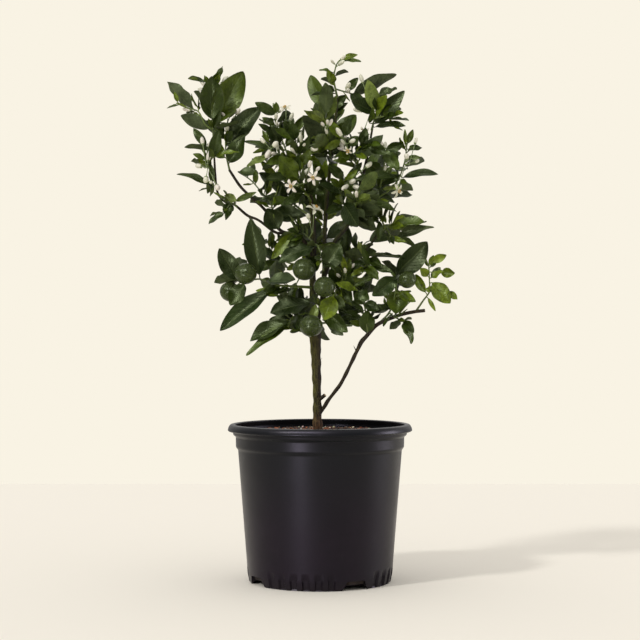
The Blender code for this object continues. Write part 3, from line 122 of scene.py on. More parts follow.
# Shoots. A row of twigs is (x, y, z) points with z measured from the soil; the first twig grows
# from the limb and the others from the first. A leaf is (base x, base z, tip x, tip z, how far the
# tip comes towards +y, width, the way its upper side faces). F is the front, B the back, L and R the
# sides, U up and D down.
SHOOTS = {
    "upper_left_shoot": ("left_outer_limb", 1.3, [
        [(-145, -5, 380), (-147, -5, 410), (-149, -2, 442), (-152, 0, 474), (-161, 0, 482)],
        [(-147, -5, 412), (-158, -9, 420), (-167, -10, 437), (-182, -10, 442), (-196, -10, 449)]], [
        (-171, 440, -213, 478, 8, 22, "BU"), (-180, 443, -197, 449, -6, 8, "U"),
        (-195, 450, -200, 464, -3, 6, "F"), (-167, 441, -177, 461, -4, 8, "L"),
        (-150, 413, -191, 432, -10, 20, "UB"), (-146, 412, -106, 421, -14, 22, "U"),
        (-148, 424, -148, 485, -12, 34, "F"), (-145, 422, -106, 493, 14, 40, "F"),
        (-164, 481, -181, 484, 2, 8, "U"), (-153, 473, -159, 487, -6, 7, "F"),
        (-148, 436, -176, 470, 30, 24, "UB"), (-150, 446, -128, 478, 34, 22, "UB")]),
    "left_inner_shoot": ("left_limb", 1.2, [
        [(-124, 0, 355), (-129, 0, 378), (-130, 0, 400), (-127, 2, 428)]], [
        (-127, 389, -83, 446, -14, 32, "F"), (-125, 430, -110, 455, 2, 9, "F"),
        (-125, 366, -104, 404, -10, 24, "F"), (-130, 402, -160, 428, 26, 22, "UB"),
        (-130, 380, -112, 412, 32, 20, "BR")]),
    "left_outer_shoot": ("left_outer_limb", 1.2, [
        [(-144, -5, 340), (-151, -9, 356), (-155, -11, 372), (-154, -11, 388)],
        [(-147, -7, 346), (-152, -10, 339)]], [
        (-154, 387, -174, 414, -5, 12, "F"), (-148, 384, -187, 388, -8, 17, "U"),
        (-147, 376, -138, 409, -14, 17, "F"), (-146, 374, -111, 382, -12, 10, "FU"),
        (-156, 364, -158, 382, -10, 7, "L"), (-148, 340, -149, 364, -14, 9, "F"),
        (-153, 337, -195, 354, -6, 15, "FU"), (-148, 333, -167, 329, 4, 8, "U"),
        (-152, 360, -178, 372, 24, 18, "UB")]),
    "left_low_shoot": ("left_outer_limb", 1.1, [
        [(-113, -5, 306), (-121, -12, 311), (-127, -15, 304), (-131, -16, 298)]], [
        (-125, 312, -126, 292, -8, 16, "F"), (-132, 297, -153, 283, -2, 12, "FU"),
        (-130, 322, -114, 313, -6, 13, "F"), (-116, 314, -87, 326, -6, 9, "F"),
        (-124, 306, -146, 312, 20, 16, "UB")]),
    "left_limb_shoot": ("left_limb", 1.3, [
        [(-62, 3, 285), (-64, -6, 296), (-68, -10, 312), (-80, -11, 326), (-94, -10, 342),
         (-108, -8, 352)]], [
        (-57, 277, -73, 304, -12, 28, "F"), (-82, 314, -60, 321, -8, 11, "FU"),
        (-67, 313, -46, 317, -8, 13, "F"), (-112, 355, -84, 350, -6, 18, "FU"),
        (-88, 336, -88, 356, -4, 8, "F"), (-70, 318, -98, 312, 24, 18, "UB"),
        (-84, 330, -62, 342, 26, 20, "UB"), (-100, 346, -92, 374, 22, 18, "BR")]),
    "centre_left_shoot": ("centre_leader", 1.3, [
        [(-23, 6, 364), (-42, -4, 372), (-60, -9, 380), (-71, -10, 388)],
        [(-42, -4, 372), (-52, -4, 398), (-60, -4, 420), (-62, -4, 436)]], [
        (-60, 382, -104, 398, -8, 16, "FU"), (-66, 378, -100, 359, -10, 12, "FU"),
        (-73, 387, -92, 381, 8, 6, "F"), (-70, 395, -79, 411, -4, 7, "F"),
        (-66, 410, -85, 420, -8, 9, "F"), (-29, 372, -1, 371, -20, 13, "FU"),
        (-40, 382, -45, 374, -20, 12, "F"), (-62, 434, -89, 449, -10, 15, "F"),
        (-60, 436, -60, 450, -8, 9, "F"), (-62, 427, -78, 420, -14, 9, "F"),
        (-55, 394, -68, 416, -16, 20, "F"), (-58, 424, -40, 438, 22, 18, "UB"),
        (-48, 384, -74, 398, 30, 20, "UB"), (-62, 388, -80, 372, 28, 18, "UB")]),
    "centre_front_shoot": ("centre_leader", 1.3, [
        [(-12, 6, 314), (-18, -10, 324), (-27, -20, 338), (-33, -22, 352)],
        [(-22, -14, 331), (-27, -16, 352), (-32, -14, 383), (-35, -12, 412)]], [
        (-29, 343, -56, 373, -16, 26, "F"), (-31, 341, -73, 346, -12, 20, "UF"),
        (-24, 325, -54, 307, -12, 12, "F"), (-22, 326, 6, 322, -14, 15, "FU"),
        (-33, 352, -30, 376, -10, 12, "F"), (-28, 360, -12, 384, -14, 13, "F"),
        (-34, 402, -50, 424, -10, 12, "F"), (-35, 408, -22, 430, -6, 12, "F"),
        (-30, 376, -14, 398, -12, 14, "F")]),
    "top_shoot": ("centre_stem", 1.2, [
        [(24, 6, 458), (19, 5, 482), (20, 4, 493), (23, 4, 504), (27, 4, 509)],
        [(22, 6, 470), (34, 3, 466), (44, 1, 463)]], [
        (46, 462, 107, 490, 8, 24, "BU"), (30, 509, 57, 506, -4, 8, "FU"), (28, 510, 52, 518, 6, 9, "F"),
        (17, 493, -1, 496, -6, 8, "FU"), (21, 466, 5, 472, -14, 10, "F"),
        (20, 464, -14, 462, -10, 12, "U"), (40, 464, 62, 446, -12, 15, "F"),
        (20, 488, 38, 498, 20, 12, "UB"), (22, 478, 0, 486, 26, 14, "UB"),
        (36, 468, 52, 484, -8, 12, "F")]),
    "upper_right_shoot": ("right_limb", 1.3, [
        [(71, -4, 412), (74, -8, 424), (78, -10, 440), (80, -9, 458)],
        [(75, -8, 428), (88, -12, 430), (96, -12, 429)]], [
        (79, 436, 65, 479, -14, 20, "F"), (80, 458, 106, 468, -4, 16, "FU"),
        (76, 421, 115, 464, -14, 22, "F"), (77, 437, 42, 448, -14, 24, "FU"),
        (85, 428, 102, 446, -12, 10, "F"), (95, 430, 110, 438, -6, 7, "F"),
        (94, 427, 122, 424, -8, 17, "U"), (74, 416, 117, 416, -20, 15, "FU"),
        (68, 422, 72, 440, -16, 9, "F"), (78, 446, 96, 474, 24, 20, "UB"),
        (76, 440, 60, 468, 26, 20, "UB"), (90, 430, 112, 444, 26, 18, "UB")]),
    "right_front_shoot": ("right_limb", 1.3, [
        [(59, -4, 350), (48, -14, 368), (38, -19, 386), (31, -20, 400)],
        [(44, -16, 376), (56, -22, 386), (66, -24, 392)]], [
        (47, 373, 86, 402, -14, 22, "F"), (38, 388, 53, 401, -10, 14, "F"),
        (32, 402, 42, 427, -8, 12, "F"), (28, 396, 5, 382, -8, 11, "F"), (29, 400, 10, 424, -8, 13, "F"),
        (66, 390, 90, 376, -12, 17, "F"), (56, 388, 62, 412, -12, 14, "F"),
        (42, 380, 24, 366, -14, 14, "F"), (50, 370, 30, 386, 18, 16, "UB")]),
    "right_rising_shoot": ("right_limb", 1.5, [
        [(45, -3, 300), (63, -9, 301), (82, -12, 320), (95, -13, 329), (108, -14, 345), (116, -14, 368),
         (119, -14, 391)],
        [(73, -11, 312), (84, -12, 340), (88, -14, 366), (88, -14, 384)]], [
        (109, 348, 43, 341, -14, 18, "FU"), (114, 346, 161, 354, -6, 16, "FU"),
        (110, 343, 118, 338, -10, 7, "F"), (117, 392, 116, 412, -4, 6, "F"),
        (120, 393, 127, 411, -8, 9, "F"), (120, 384, 140, 387, -4, 12, "FU"),
        (120, 374, 138, 373, -6, 7, "F"), (91, 384, 115, 391, -10, 14, "F"),
        (88, 382, 107, 356, -18, 18, "F"), (90, 328, 62, 333, -16, 9, "FU"),
        (85, 330, 113, 329, -12, 9, "FU"), (86, 352, 66, 366, -8, 16, "F"),
        (100, 335, 128, 332, 24, 20, "UB"), (116, 364, 146, 370, 26, 20, "UB"),
        (86, 358, 110, 384, 28, 20, "UB")]),
    "right_centre_shoot": ("right_limb", 1.2, [
        [(44, -2, 294), (38, -14, 304), (31, -19, 312), (30, -22, 332), (33, -23, 342)]], [
        (29, 312, 54, 275, -14, 26, "F"), (50, 314, 105, 301, -14, 20, "UF"),
        (27, 324, -2, 336, -14, 17, "FU"), (34, 342, 62, 372, -10, 15, "F"),
        (34, 306, 8, 296, -12, 16, "FU"), (30, 330, 52, 330, -16, 14, "F"),
        (32, 344, 12, 362, -8, 14, "F")]),
    "right_outer_shoot": ("right_low_limb", 1.2, [
        [(86, -10, 275), (95, -12, 280), (103, -13, 282)],
        [(91, -11, 277), (96, -18, 268), (104, -21, 263)],
        [(90, -11, 277), (84, -14, 288), (77, -15, 297)]], [
        (98, 282, 146, 286, -8, 24, "FU"), (105, 263, 154, 281, -8, 22, "FU"),
        (96, 264, 118, 257, -8, 8, "F"), (82, 286, 80, 260, -10, 9, "F"), (78, 297, 70, 282, -12, 8, "F"),
        (84, 294, 90, 284, -12, 8, "F"), (98, 278, 128, 296, 26, 22, "UB"),
        (84, 282, 66, 296, 24, 18, "UB"), (88, 276, 112, 262, 30, 20, "UB")]),
    "right_low_shoot": ("right_low_limb", 1.2, [
        [(58, -9, 243), (63, -14, 235), (66, -17, 222)]], [
        (66, 239, 117, 236, -8, 18, "U"), (62, 240, 52, 258, -8, 9, "F"), (67, 224, 57, 253, -12, 9, "F"),
        (63, 227, 42, 211, -6, 9, "F"), (68, 236, 83, 225, -14, 13, "F"),
        (69, 228, 101, 215, -10, 11, "F"), (62, 226, 80, 206, -12, 13, "F"),
        (60, 236, 34, 244, 20, 18, "UB")]),
    "right_inner_shoot": ("side_stem", 1.3, [
        [(82, -7, 147), (96, -9, 163), (103, -12, 188), (106, -12, 210)],
        [(95, -9, 161), (104, -14, 154), (115, -17, 150)]], [
        (116, 150, 127, 119, -2, 21, "FR"), (112, 151, 96, 138, 10, 13, "UB"),
        (106, 213, 146, 259, -10, 34, "F"), (104, 209, 72, 184, -14, 24, "F"),
        (107, 192, 104, 160, -12, 30, "F"), (108, 188, 131, 176, -6, 13, "FR"),
        (96, 166, 80, 171, -12, 10, "F"), (106, 212, 84, 232, 18, 24, "UB"),
        (104, 198, 126, 214, 28, 22, "UR"), (100, 178, 116, 190, 30, 18, "BR"),
        (98, 172, 74, 160, 24, 18, "UB")]),
    "side_stem_shoot": ("side_stem", 1.3, [
        [(66, -6, 131), (64, -9, 146), (62, -11, 165), (57, -12, 184), (48, -12, 196)]], [
        (63, 134, 66, 165, -14, 22, "F"), (58, 164, 35, 176, -10, 12, "FU"),
        (57, 154, 27, 163, -10, 12, "FU"), (59, 144, 40, 149, -6, 9, "F"),
        (60, 176, 80, 165, -8, 16, "F"), (46, 197, 76, 210, -8, 14, "FU"),
        (50, 191, 67, 178, -14, 16, "F"), (62, 158, 44, 174, 24, 20, "UB"),
        (56, 186, 78, 196, 26, 20, "UB"), (46, 198, 30, 214, -6, 14, "F"),
        (60, 170, 50, 190, -12, 18, "F"), (64, 150, 84, 160, 24, 16, "BR")]),
    "side_tip_shoot": ("side_stem", 1.2, [
        [(131, -10, 162), (141, -12, 177), (150, -13, 190), (150, -13, 204), (149, -13, 226)]], [
        (153, 209, 169, 219, -4, 13, "FU"), (166, 216, 184, 215, -8, 14, "F"),
        (153, 231, 173, 240, -4, 12, "F"), (150, 226, 156, 240, 4, 8, "F"),
        (148, 209, 137, 222, -6, 12, "F"), (154, 202, 178, 174, -6, 24, "F"),
        (176, 190, 188, 179, -4, 10, "F"), (154, 193, 143, 193, -10, 9, "F"),
        (148, 181, 158, 163, -6, 6, "F"), (149, 224, 143, 240, 10, 9, "L")]),
    "centre_low_shoot": ("centre_leader", 1.4, [
        [(-10, 7, 250), (-7, -8, 254), (-3, -19, 252), (3, -27, 236), (5, -28, 218)],
        [(-5, -13, 252), (-20, -12, 268), (-35, -14, 271)]], [
        (-4, 252, -57, 231, -12, 26, "FU"), (5, 220, 28, 255, -8, 30, "F"),
        (-37, 270, -66, 235, -8, 16, "F"), (-20, 266, -44, 276, -10, 12, "FU"),
        (-24, 266, -44, 252, -14, 12, "F"), (2, 240, -24, 214, 14, 22, "FD")]),
    "low_right_front_shoot": ("right_low_limb", 1.2, [
        [(17, 3, 199), (26, -8, 197), (33, -14, 204), (37, -16, 216)]], [
        (26, 197, 18, 228, -10, 22, "F"), (36, 214, 30, 239, -14, 8, "F"), (38, 214, 41, 236, -8, 8, "F"),
        (35, 208, 56, 224, -8, 14, "F"), (28, 198, 44, 176, -10, 16, "F")]),
    "low_left_shoot": ("trunk", 1.5, [
        [(-8, 2, 150), (-16, -12, 160), (-28, -18, 158), (-42, -20, 150)],
        [(-12, -6, 155), (0, -18, 168), (12, -26, 182), (20, -28, 186)]], [
        (-14, 175, -68, 160, -10, 32, "FU"), (-43, 149, -97, 125, -4, 26, "FU"),
        (-42, 146, -100, 101, -8, 18, "FU"), (-24, 160, -36, 138, -12, 20, "F"),
        (-6, 172, -11, 147, -14, 12, "F"), (20, 184, 5, 151, -10, 26, "F"),
        (3, 164, 38, 134, -8, 22, "F"), (-30, 162, -58, 184, 24, 22, "UB"),
        (-20, 164, -2, 186, 26, 20, "UB"), (14, 180, 34, 170, -4, 18, "F")]),
    "left_low_branch": ("centre_leader", 1.8, [
        [(-10, 8, 196), (-30, -6, 197), (-60, -14, 199), (-82, -16, 207), (-100, -15, 204),
         (-112, -14, 206)]], [
        (-83, 213, -95, 289, -10, 30, "F"), (-113, 207, -138, 249, -8, 26, "F"),
        (-66, 193, -135, 134, -14, 28, "FU"), (-76, 203, -33, 205, -22, 26, "UF"),
        (-38, 194, -63, 187, -12, 11, "FU"), (-104, 200, -122, 170, 16, 24, "FL"),
        (-90, 210, -120, 234, 34, 24, "UB"), (-60, 204, -62, 236, 26, 24, "UB"),
        (-48, 192, -52, 166, 22, 22, "B"), (-110, 208, -146, 204, 28, 24, "UB")]),
}

# Shoots that follow one rule, mostly on the sides and the back: the limb, how far along it they
# leave it, the point they reach, and how many leaves they carry.
FILL_SHOOTS = {
    "back_low_left_shoot": ("trunk", 0.86, (-58, 62, 190), 8),
    "back_low_right_shoot": ("trunk", 0.93, (46, 74, 176), 8),
    "back_left_shoot": ("centre_leader", 0.30, (-86, 74, 262), 9),
    "back_centre_shoot": ("centre_leader", 0.45, (-14, 106, 268), 9),
    "back_right_shoot": ("centre_stem", 0.42, (66, 84, 262), 9),
    "back_high_left_shoot": ("centre_leader", 0.68, (-74, 78, 372), 9),
    "back_high_shoot": ("centre_stem", 0.62, (6, 92, 366), 9),
    "back_high_right_shoot": ("right_limb", 0.62, (96, 66, 356), 9),
    "back_top_shoot": ("centre_stem", 0.84, (10, 52, 446), 9),
    "front_high_shoot": ("centre_stem", 0.78, (8, -48, 424), 8),
    "front_right_shoot": ("right_limb", 0.45, (52, -62, 322), 8),
}
FILL_TWIG_RADIUS = 1.5
FILL_TWIG_SAG = 0.10

# Their leaves: set round the twig from this share of it on, each turned on by the golden angle, and
# turned a little further or back, and shortened, until they clear their neighbours
LEAF_LENGTHS = (34.0, 58.0)
LEAF_SHAPE = 0.46
GOLDEN_ANGLE = math.radians(137.5)
FIRST_LEAF = 0.30
LEAF_TRIES = 24
TRY_TURN = 0.35
TRY_SHRINK = 0.02
LEAF_LEAN = 0.9
END_LEAF_LEAN = 2.4
LEAF_LIFT = 0.12
LEAF_STALK = 6.0

# A leaf of a listed row keeps its base, and takes the first size, shift of its tip towards +y and roll
# that clear its neighbours
LEAF_SIZES = (1.0, 0.85, 0.7)
TIP_SHIFTS = (0, -5, 5, -10, 10, -16, 16, -24, 24, -32, 32)
LEAF_ROLLS = (0.0, 0.4, -0.4)
SHORTEST_STALK = 2.5
SHORT_STALK = 3.0

# Fruits: where the stalk grows from, the centre with z from the soil, and the radius
FRUIT_SCALE = 1.0
FRUIT_SQUASH = 0.95
FRUIT_STALK_RADII = (1.0, 1.3)
FRUIT_ELBOW = 3.0
STALK_DEPTH = 0.6
FRUITS = {
    "fruit_left": ("left_low_branch", (-96, 204), (-101, -32, 214), 15.3),
    "fruit_far_left": ("left_low_branch", (-108, 205), (-124, -2, 190), 14.3),
    "fruit_centre": ("left_low_branch", (-34, 197), (-21.5, -32, 220), 16.0),
    "fruit_centre_right": ("low_left_shoot", (9, 180), (6, -46, 196), 14.7),
    "fruit_trunk": ("low_left_shoot", (-16, 160), (-12, -36, 143), 15.7),
    "fruit_right": ("right_inner_shoot", (105, 203), (119, -24, 206), 12.3),
}

# Flower clusters: the shoot they grow on, the twig point (x, z) they leave it at, and their buds and
# open flowers as (x, y, z, length or spread, width). A width of 0 marks an open flower.
CLUSTERS = {
    "flower_cluster_upper_left": ("upper_left_shoot", (-151, 462), [
        (-131, 4, 482, 14, 8), (-139, 10, 476, 12, 7), (-136, 14, 470, 10, 6)]),
    "flower_cluster_left_tip": ("left_inner_shoot", (-128, 422), [
        (-113, -4, 438, 11, 7), (-142, 6, 424, 9, 8), (-118, 12, 430, 12, 7)]),
    "flower_cluster_left": ("left_outer_shoot", (-153, 360), [
        (-161, -17, 396, 12, 6), (-152, -21, 374, 13, 7), (-166, -14, 362, 11, 7),
        (-156, -19, 343, 10, 8), (-140, -24, 332, 10, 8)]),
    "flower_cluster_centre_left": ("centre_left_shoot", (-66, 385), [
        (-71, -20, 378, 14, 8), (-61, -20, 391, 11, 8), (-78, -16, 396, 10, 6)]),
    "flower_cluster_centre_high": ("centre_left_shoot", (-54, 402), [
        (-47, -17, 440, 16, 0), (-39, -15, 429, 13, 6), (-35, -9, 419, 10, 6)]),
    "flower_cluster_centre": ("centre_front_shoot", (-32, 384), [
        (-26, -24, 399, 14, 6), (-22, -30, 390, 10, 6), (-8, -28, 384, 12, 7), (2, -26, 394, 14, 6)]),
    "flower_cluster_centre_low": ("centre_front_shoot", (-24, 336), [
        (-38, -44, 332, 20, 0), (-8, -40, 344, 20, 0), (-14, -38, 362, 12, 6), (-3, -36, 356, 9, 5)]),
    "flower_cluster_heart": ("centre_low_shoot", (-14, 264), [
        (-8, -34, 301, 25, 0), (-16, -34, 292, 9, 6)]),
    "flower_cluster_right": ("right_front_shoot", (36, 391), [
        (26, -34, 406, 15, 7), (44, -36, 394, 12, 6), (38, -40, 381, 13, 0)]),
    "flower_cluster_right_low": ("right_centre_shoot", (31, 338), [
        (34, -36, 331, 16, 7), (44, -34, 339, 12, 7), (50, -34, 331, 14, 7), (66, -28, 362, 12, 7)]),
    "flower_cluster_upper_right": ("upper_right_shoot", (76, 434), [
        (60, -24, 409, 17, 0), (52, -20, 438, 15, 7), (57, -10, 482, 14, 6)]),
    "flower_cluster_far_right": ("right_rising_shoot", (114, 364), [
        (131, -18, 396, 10, 5), (118, -24, 374, 9, 7), (132, -14, 369, 9, 6), (105, -26, 328, 20, 0)]),
}

CLUSTER_STALK_RADIUS = 0.8
CLUSTER_FORK_SHARE = 0.35
CLUSTER_FORK_LEAST = 3.0
BUD_START = 0.9
BUD_STEP = 2.0
BUD_SIDES = 4
PETAL_COUNT = 5
PETAL_NOTCH = 0.42
PETAL_RISE = 0.12
FLOWER_BACK, FLOWER_FRONT = 1.2, 3.0

# The shape of the leaves and their stalks
FACES = {"F": (0, -1, 0), "B": (0, 1, 0), "L": (-1, 0, 0), "R": (1, 0, 0), "U": (0, 0, 1), "D": (0, 0, -1)}
LEAF_THICKNESS = 0.9
LEAF_ARCH = 0.09
LEAF_FOLD = 0.16
LARGE_LEAF = 55.0
SMALL_LEAF = 24.0
STRAIGHT_STALK = 0.88
STALK_BEND = 0.8
STALK_RADIUS = 0.65
BLADE_START = 0.04
BLADE = ((0.45, 1.0),)
LARGE_BLADE = ((0.30, 0.94), (0.68, 0.82))

# The shape of the wood, and how pieces find their places
TWIG_TIP_RADIUS = 0.8
SIDE_TWIG_SHARE = 0.8
SIDE_TWIG_TURN = 0.35
TWIG_SIDES = 4
SIDE_TWIG_BITE = 0.37
LIMB_SIDES = 6
END_MARGIN = 1.3
LEAF_STEP = 1.6
SEAT_STEP = 0.15
SHORTEST_STEP = 0.8
NEIGHBOUR_CLEARANCE = 0.45
OWN_SHOOT_CLEARANCE = 0.1
OWN_SHOOT_START = 0.14
SEED = 7


# ---- plain shapes, as lists of points and faces -------------------------------------------------

class Shape:
    def __init__(self, points=None, faces=None):
        self.points = points or []
        self.faces = faces or []

    def add(self, other):
        start = len(self.points)
        self.points += other.points
        self.faces += [tuple(start + i for i in face) for face in other.faces]
        return self

    def tree(self):
        return BVHTree.FromPolygons(self.points, self.faces)


def loft(rings, tip=None):
    """A closed skin through rings of equal size, with flat ends or a point at the far end."""
    shape = Shape()
    count = len(rings[0])
    for ring in rings:
        shape.points += ring
    for level in range(len(rings) - 1):
        low = level * count
        for i in range(count):
            j = (i + 1) % count
            shape.faces.append((low + i, low + j, low + count + j, low + count + i))
    shape.faces.append(tuple(reversed(range(count))))
    top = (len(rings) - 1) * count
    if tip is None:
        shape.faces.append(tuple(range(top, top + count)))
        return shape
    shape.points.append(tip)
    for i in range(count):
        shape.faces.append((top + i, top + (i + 1) % count, len(shape.points) - 1))
    return shape


def smooth(points, steps):
    """Points on the smooth curve through the given (x, y, z, radius) points."""
    rows = [Vector(p) for p in points]
    ends = [2 * rows[0] - rows[1]] + rows + [2 * rows[-1] - rows[-2]]
    curve = []
    for a, b, c, d in zip(ends, ends[1:], ends[2:], ends[3:]):
        for k in range(steps):
            t = k / steps
            curve.append(0.5 * (2 * b + (c - a) * t + (2 * a - 5 * b + 4 * c - d) * t * t
                                + (3 * b - a - 3 * c + d) * t ** 3))
    return curve + [rows[-1]]


def frames(path):
    """A pair of cross directions at each point of a path, carried along without twisting."""
    spots = [Vector(p[:3]) for p in path]
    last = None
    for i, spot in enumerate(spots):
        ahead = (spots[min(i + 1, len(spots) - 1)] - spots[max(i - 1, 0)]).normalized()
        if last is None:
            side = ahead.cross(Vector((0.2, 1, 0.1))).normalized()
        else:
            side = (last - ahead * last.dot(ahead)).normalized()
        last = side
        yield spot, side, ahead.cross(side)


def around(centre, radius, side, across, sides, turn=0.0):
    """A ring of points round a centre."""
    angles = [turn + 2 * math.pi * i / sides for i in range(sides)]
    return [centre + radius * (math.cos(a) * side + math.sin(a) * across) for a in angles]


def tube(path, sides, turn=0.0):
    """A closed tube along a path of (x, y, z, radius) points."""
    return loft([around(spot, row[3], side, across, sides, turn)
                 for row, (spot, side, across) in zip(path, frames(path))])


def ball(centre, radius, sides=9, rings=6):
    """A slightly flattened ball, with a point at each pole."""
    side, across = Vector((1, 0, 0)), Vector((0, 1, 0))
    pole = Vector((0, 0, FRUIT_SQUASH * radius))
    levels = [around(centre - math.cos(polar) * pole, radius * math.sin(polar), side, across, sides)
              for polar in (math.pi * k / rings for k in range(1, rings))]
    shape = loft(levels, centre + pole)
    cap = next(i for i, face in enumerate(shape.faces) if len(face) == sides)
    del shape.faces[cap]
    shape.points.append(centre - pole)
    foot = len(shape.points) - 1
    shape.faces += [((i + 1) % sides, i, foot) for i in range(sides)]
    return shape


# ---- leaves -------------------------------------------------------------------------------------

class Leaf:
    """A leaf on its stalk: root on the twig's axis, blade from base to tip, upper side facing up."""

    def __init__(self, root, base, tip, width, up):
        self.root, self.base, self.tip, self.width = root, base, tip, width
        axis = (tip - base).normalized()
        self.up = (up - axis * up.dot(axis)).normalized()
        self.side = axis.cross(self.up)
        self.length = (tip - base).length

    def spot(self, share):
        """A point on the midrib, which arches towards the upper side."""
        arch = LEAF_ARCH * self.length * 4 * share * (1 - share)
        return self.base.lerp(self.tip, share) + self.up * arch

    def shape(self, grow=0.0, stalk=True, start=BLADE_START):
        """The stalk and the blade, with a flat upper side and a keel along the midrib below."""
        rings = []
        if stalk:
            along = (self.base - self.root).normalized()
            axis = (self.tip - self.base).normalized()
            rings.append(self.ring(self.root, STALK_RADIUS + grow, axis.rotation_difference(along)))
            if self.length > SMALL_LEAF and along.dot(axis) < STRAIGHT_STALK:
                half_turn = axis.rotation_difference((along + axis).normalized())
                bend = self.root.lerp(self.base, STALK_BEND)
                rings.append(self.ring(bend, STALK_RADIUS + grow, half_turn))
        else:
            rings.append(self.ring(self.spot(start), STALK_RADIUS + grow))
        for share, wide in LARGE_BLADE if self.length > LARGE_LEAF else BLADE:
            reach = self.width / 2 * wide + grow
            keel = max(LEAF_FOLD * reach, LEAF_THICKNESS) + 2 * grow
            centre = self.spot(share) + self.up * grow
            rings.append([centre - self.side * reach, centre - self.up * keel, centre + self.side * reach])
        return loft(rings, self.spot(1.0 + grow / self.length))

    def ring(self, spot, size, turn=None):
        side, up = (turn @ self.side, turn @ self.up) if turn else (self.side, self.up)
        return [spot - side * size + up * size / 2, spot - up * size, spot + side * size + up * size / 2]


def facing(letters):
    return sum((Vector(FACES[letter]) for letter in letters), Vector()).normalized()


def nearest_on(path, x, z):
    """How far a path passes from (x, z) as seen from the front, and how far along it that is."""
    best = None
    walked = 0.0
    for a, b in zip(path, path[1:]):
        start, end = Vector(a[:3]), Vector(b[:3])
        flat = Vector((end.x - start.x, end.z - start.z))
        reach = flat.dot(Vector((x - start.x, z - start.z))) / max(flat.length_squared, 1e-9)
        reach = min(max(reach, 0.0), 1.0)
        spot = start.lerp(end, reach)
        away = math.hypot(spot.x - x, spot.z - z)
        if best is None or away < best[0]:
            best = (away, walked + reach * (end - start).length)
        walked += (end - start).length
    return best


def point_along(path, distance):
    """The point this far along a path, and the path's direction there."""
    for a, b in zip(path, path[1:]):
        start, end = Vector(a[:3]), Vector(b[:3])
        step = (end - start).length
        if distance <= step:
            break
        distance -= step
    return start.lerp(end, min(distance / step, 1.0)), (end - start).normalized()


def path_length(path):
    return sum((Vector(b[:3]) - Vector(a[:3])).length for a, b in zip(path, path[1:]))


# ---- what has been placed so far, so that nothing grows through anything else -------------------

class Placed:
    def __init__(self):
        self.trees = {}

    def add(self, name, shape):
        self.trees.setdefault(name, []).append(shape.tree())

    def clear_of(self, shape, names):
        tree = shape.tree()
        return not any(tree.overlap(other) for name in names for other in self.trees.get(name, []))

    def clear(self, shape, but=()):
        """Whether the shape runs into nothing, apart from its own neighbours."""
        return self.clear_of(shape, [name for name in self.trees if name not in but])


def seated(path, sides, carrier):
    """The path from where its blunt end first clears the carrier's surface by GAP."""
    spots = [Vector(p) for p in path]
    for a, b in zip(spots, spots[1:]):
        steps = max(int((b - a).length / SEAT_STEP), 1)
        for k in range(steps):
            row = a.lerp(b, k / steps)
            ahead = Vector(b[:3]) - Vector(a[:3])
            probe = tube([row, Vector((*(Vector(row[:3]) + ahead.normalized()), row[3]))], sides)
            near = [carrier.find_nearest(point) for point in probe.points[:sides]]
            outside = all((point - found[0]).dot(found[1]) > 0 for point, found in zip(probe.points, near))
            if outside and min(found[3] for found in near) >= GAP:
                rest = spots[spots.index(b):]
                if (Vector(b[:3]) - Vector(row[:3])).length < SHORTEST_STEP and len(rest) > 1:
                    rest = rest[1:]
                return [row] + rest
    raise ValueError("a stem never leaves its carrier")


# ---- the plan of the plant: limbs, shoots, fruits and clusters as shapes ------------------------

def limb_path(name):
    scale = TRUNK_SCALE if name == "trunk" else STEM_SCALE
    return smooth([(*row[:3], row[3] * scale) for row in LIMBS[name][1]], 1)


def grow_limbs(placed):
    limbs = {}
    paths = {}
    for name, (parent, _) in LIMBS.items():
        path = limb_path(name)
        if parent:
            path = seated(path, LIMB_SIDES, limbs[parent].tree())
        paths[name] = path
        limbs[name] = tube(path, LIMB_SIDES)
        placed.add(name, limbs[name])
    return limbs, paths


def twig_path(points, radius):
    rows = []
    for k, point in enumerate(points):
        share = k / (len(points) - 1)
        rows.append((*point, radius + (TWIG_TIP_RADIUS - radius) * share))
    return smooth(rows, 1)


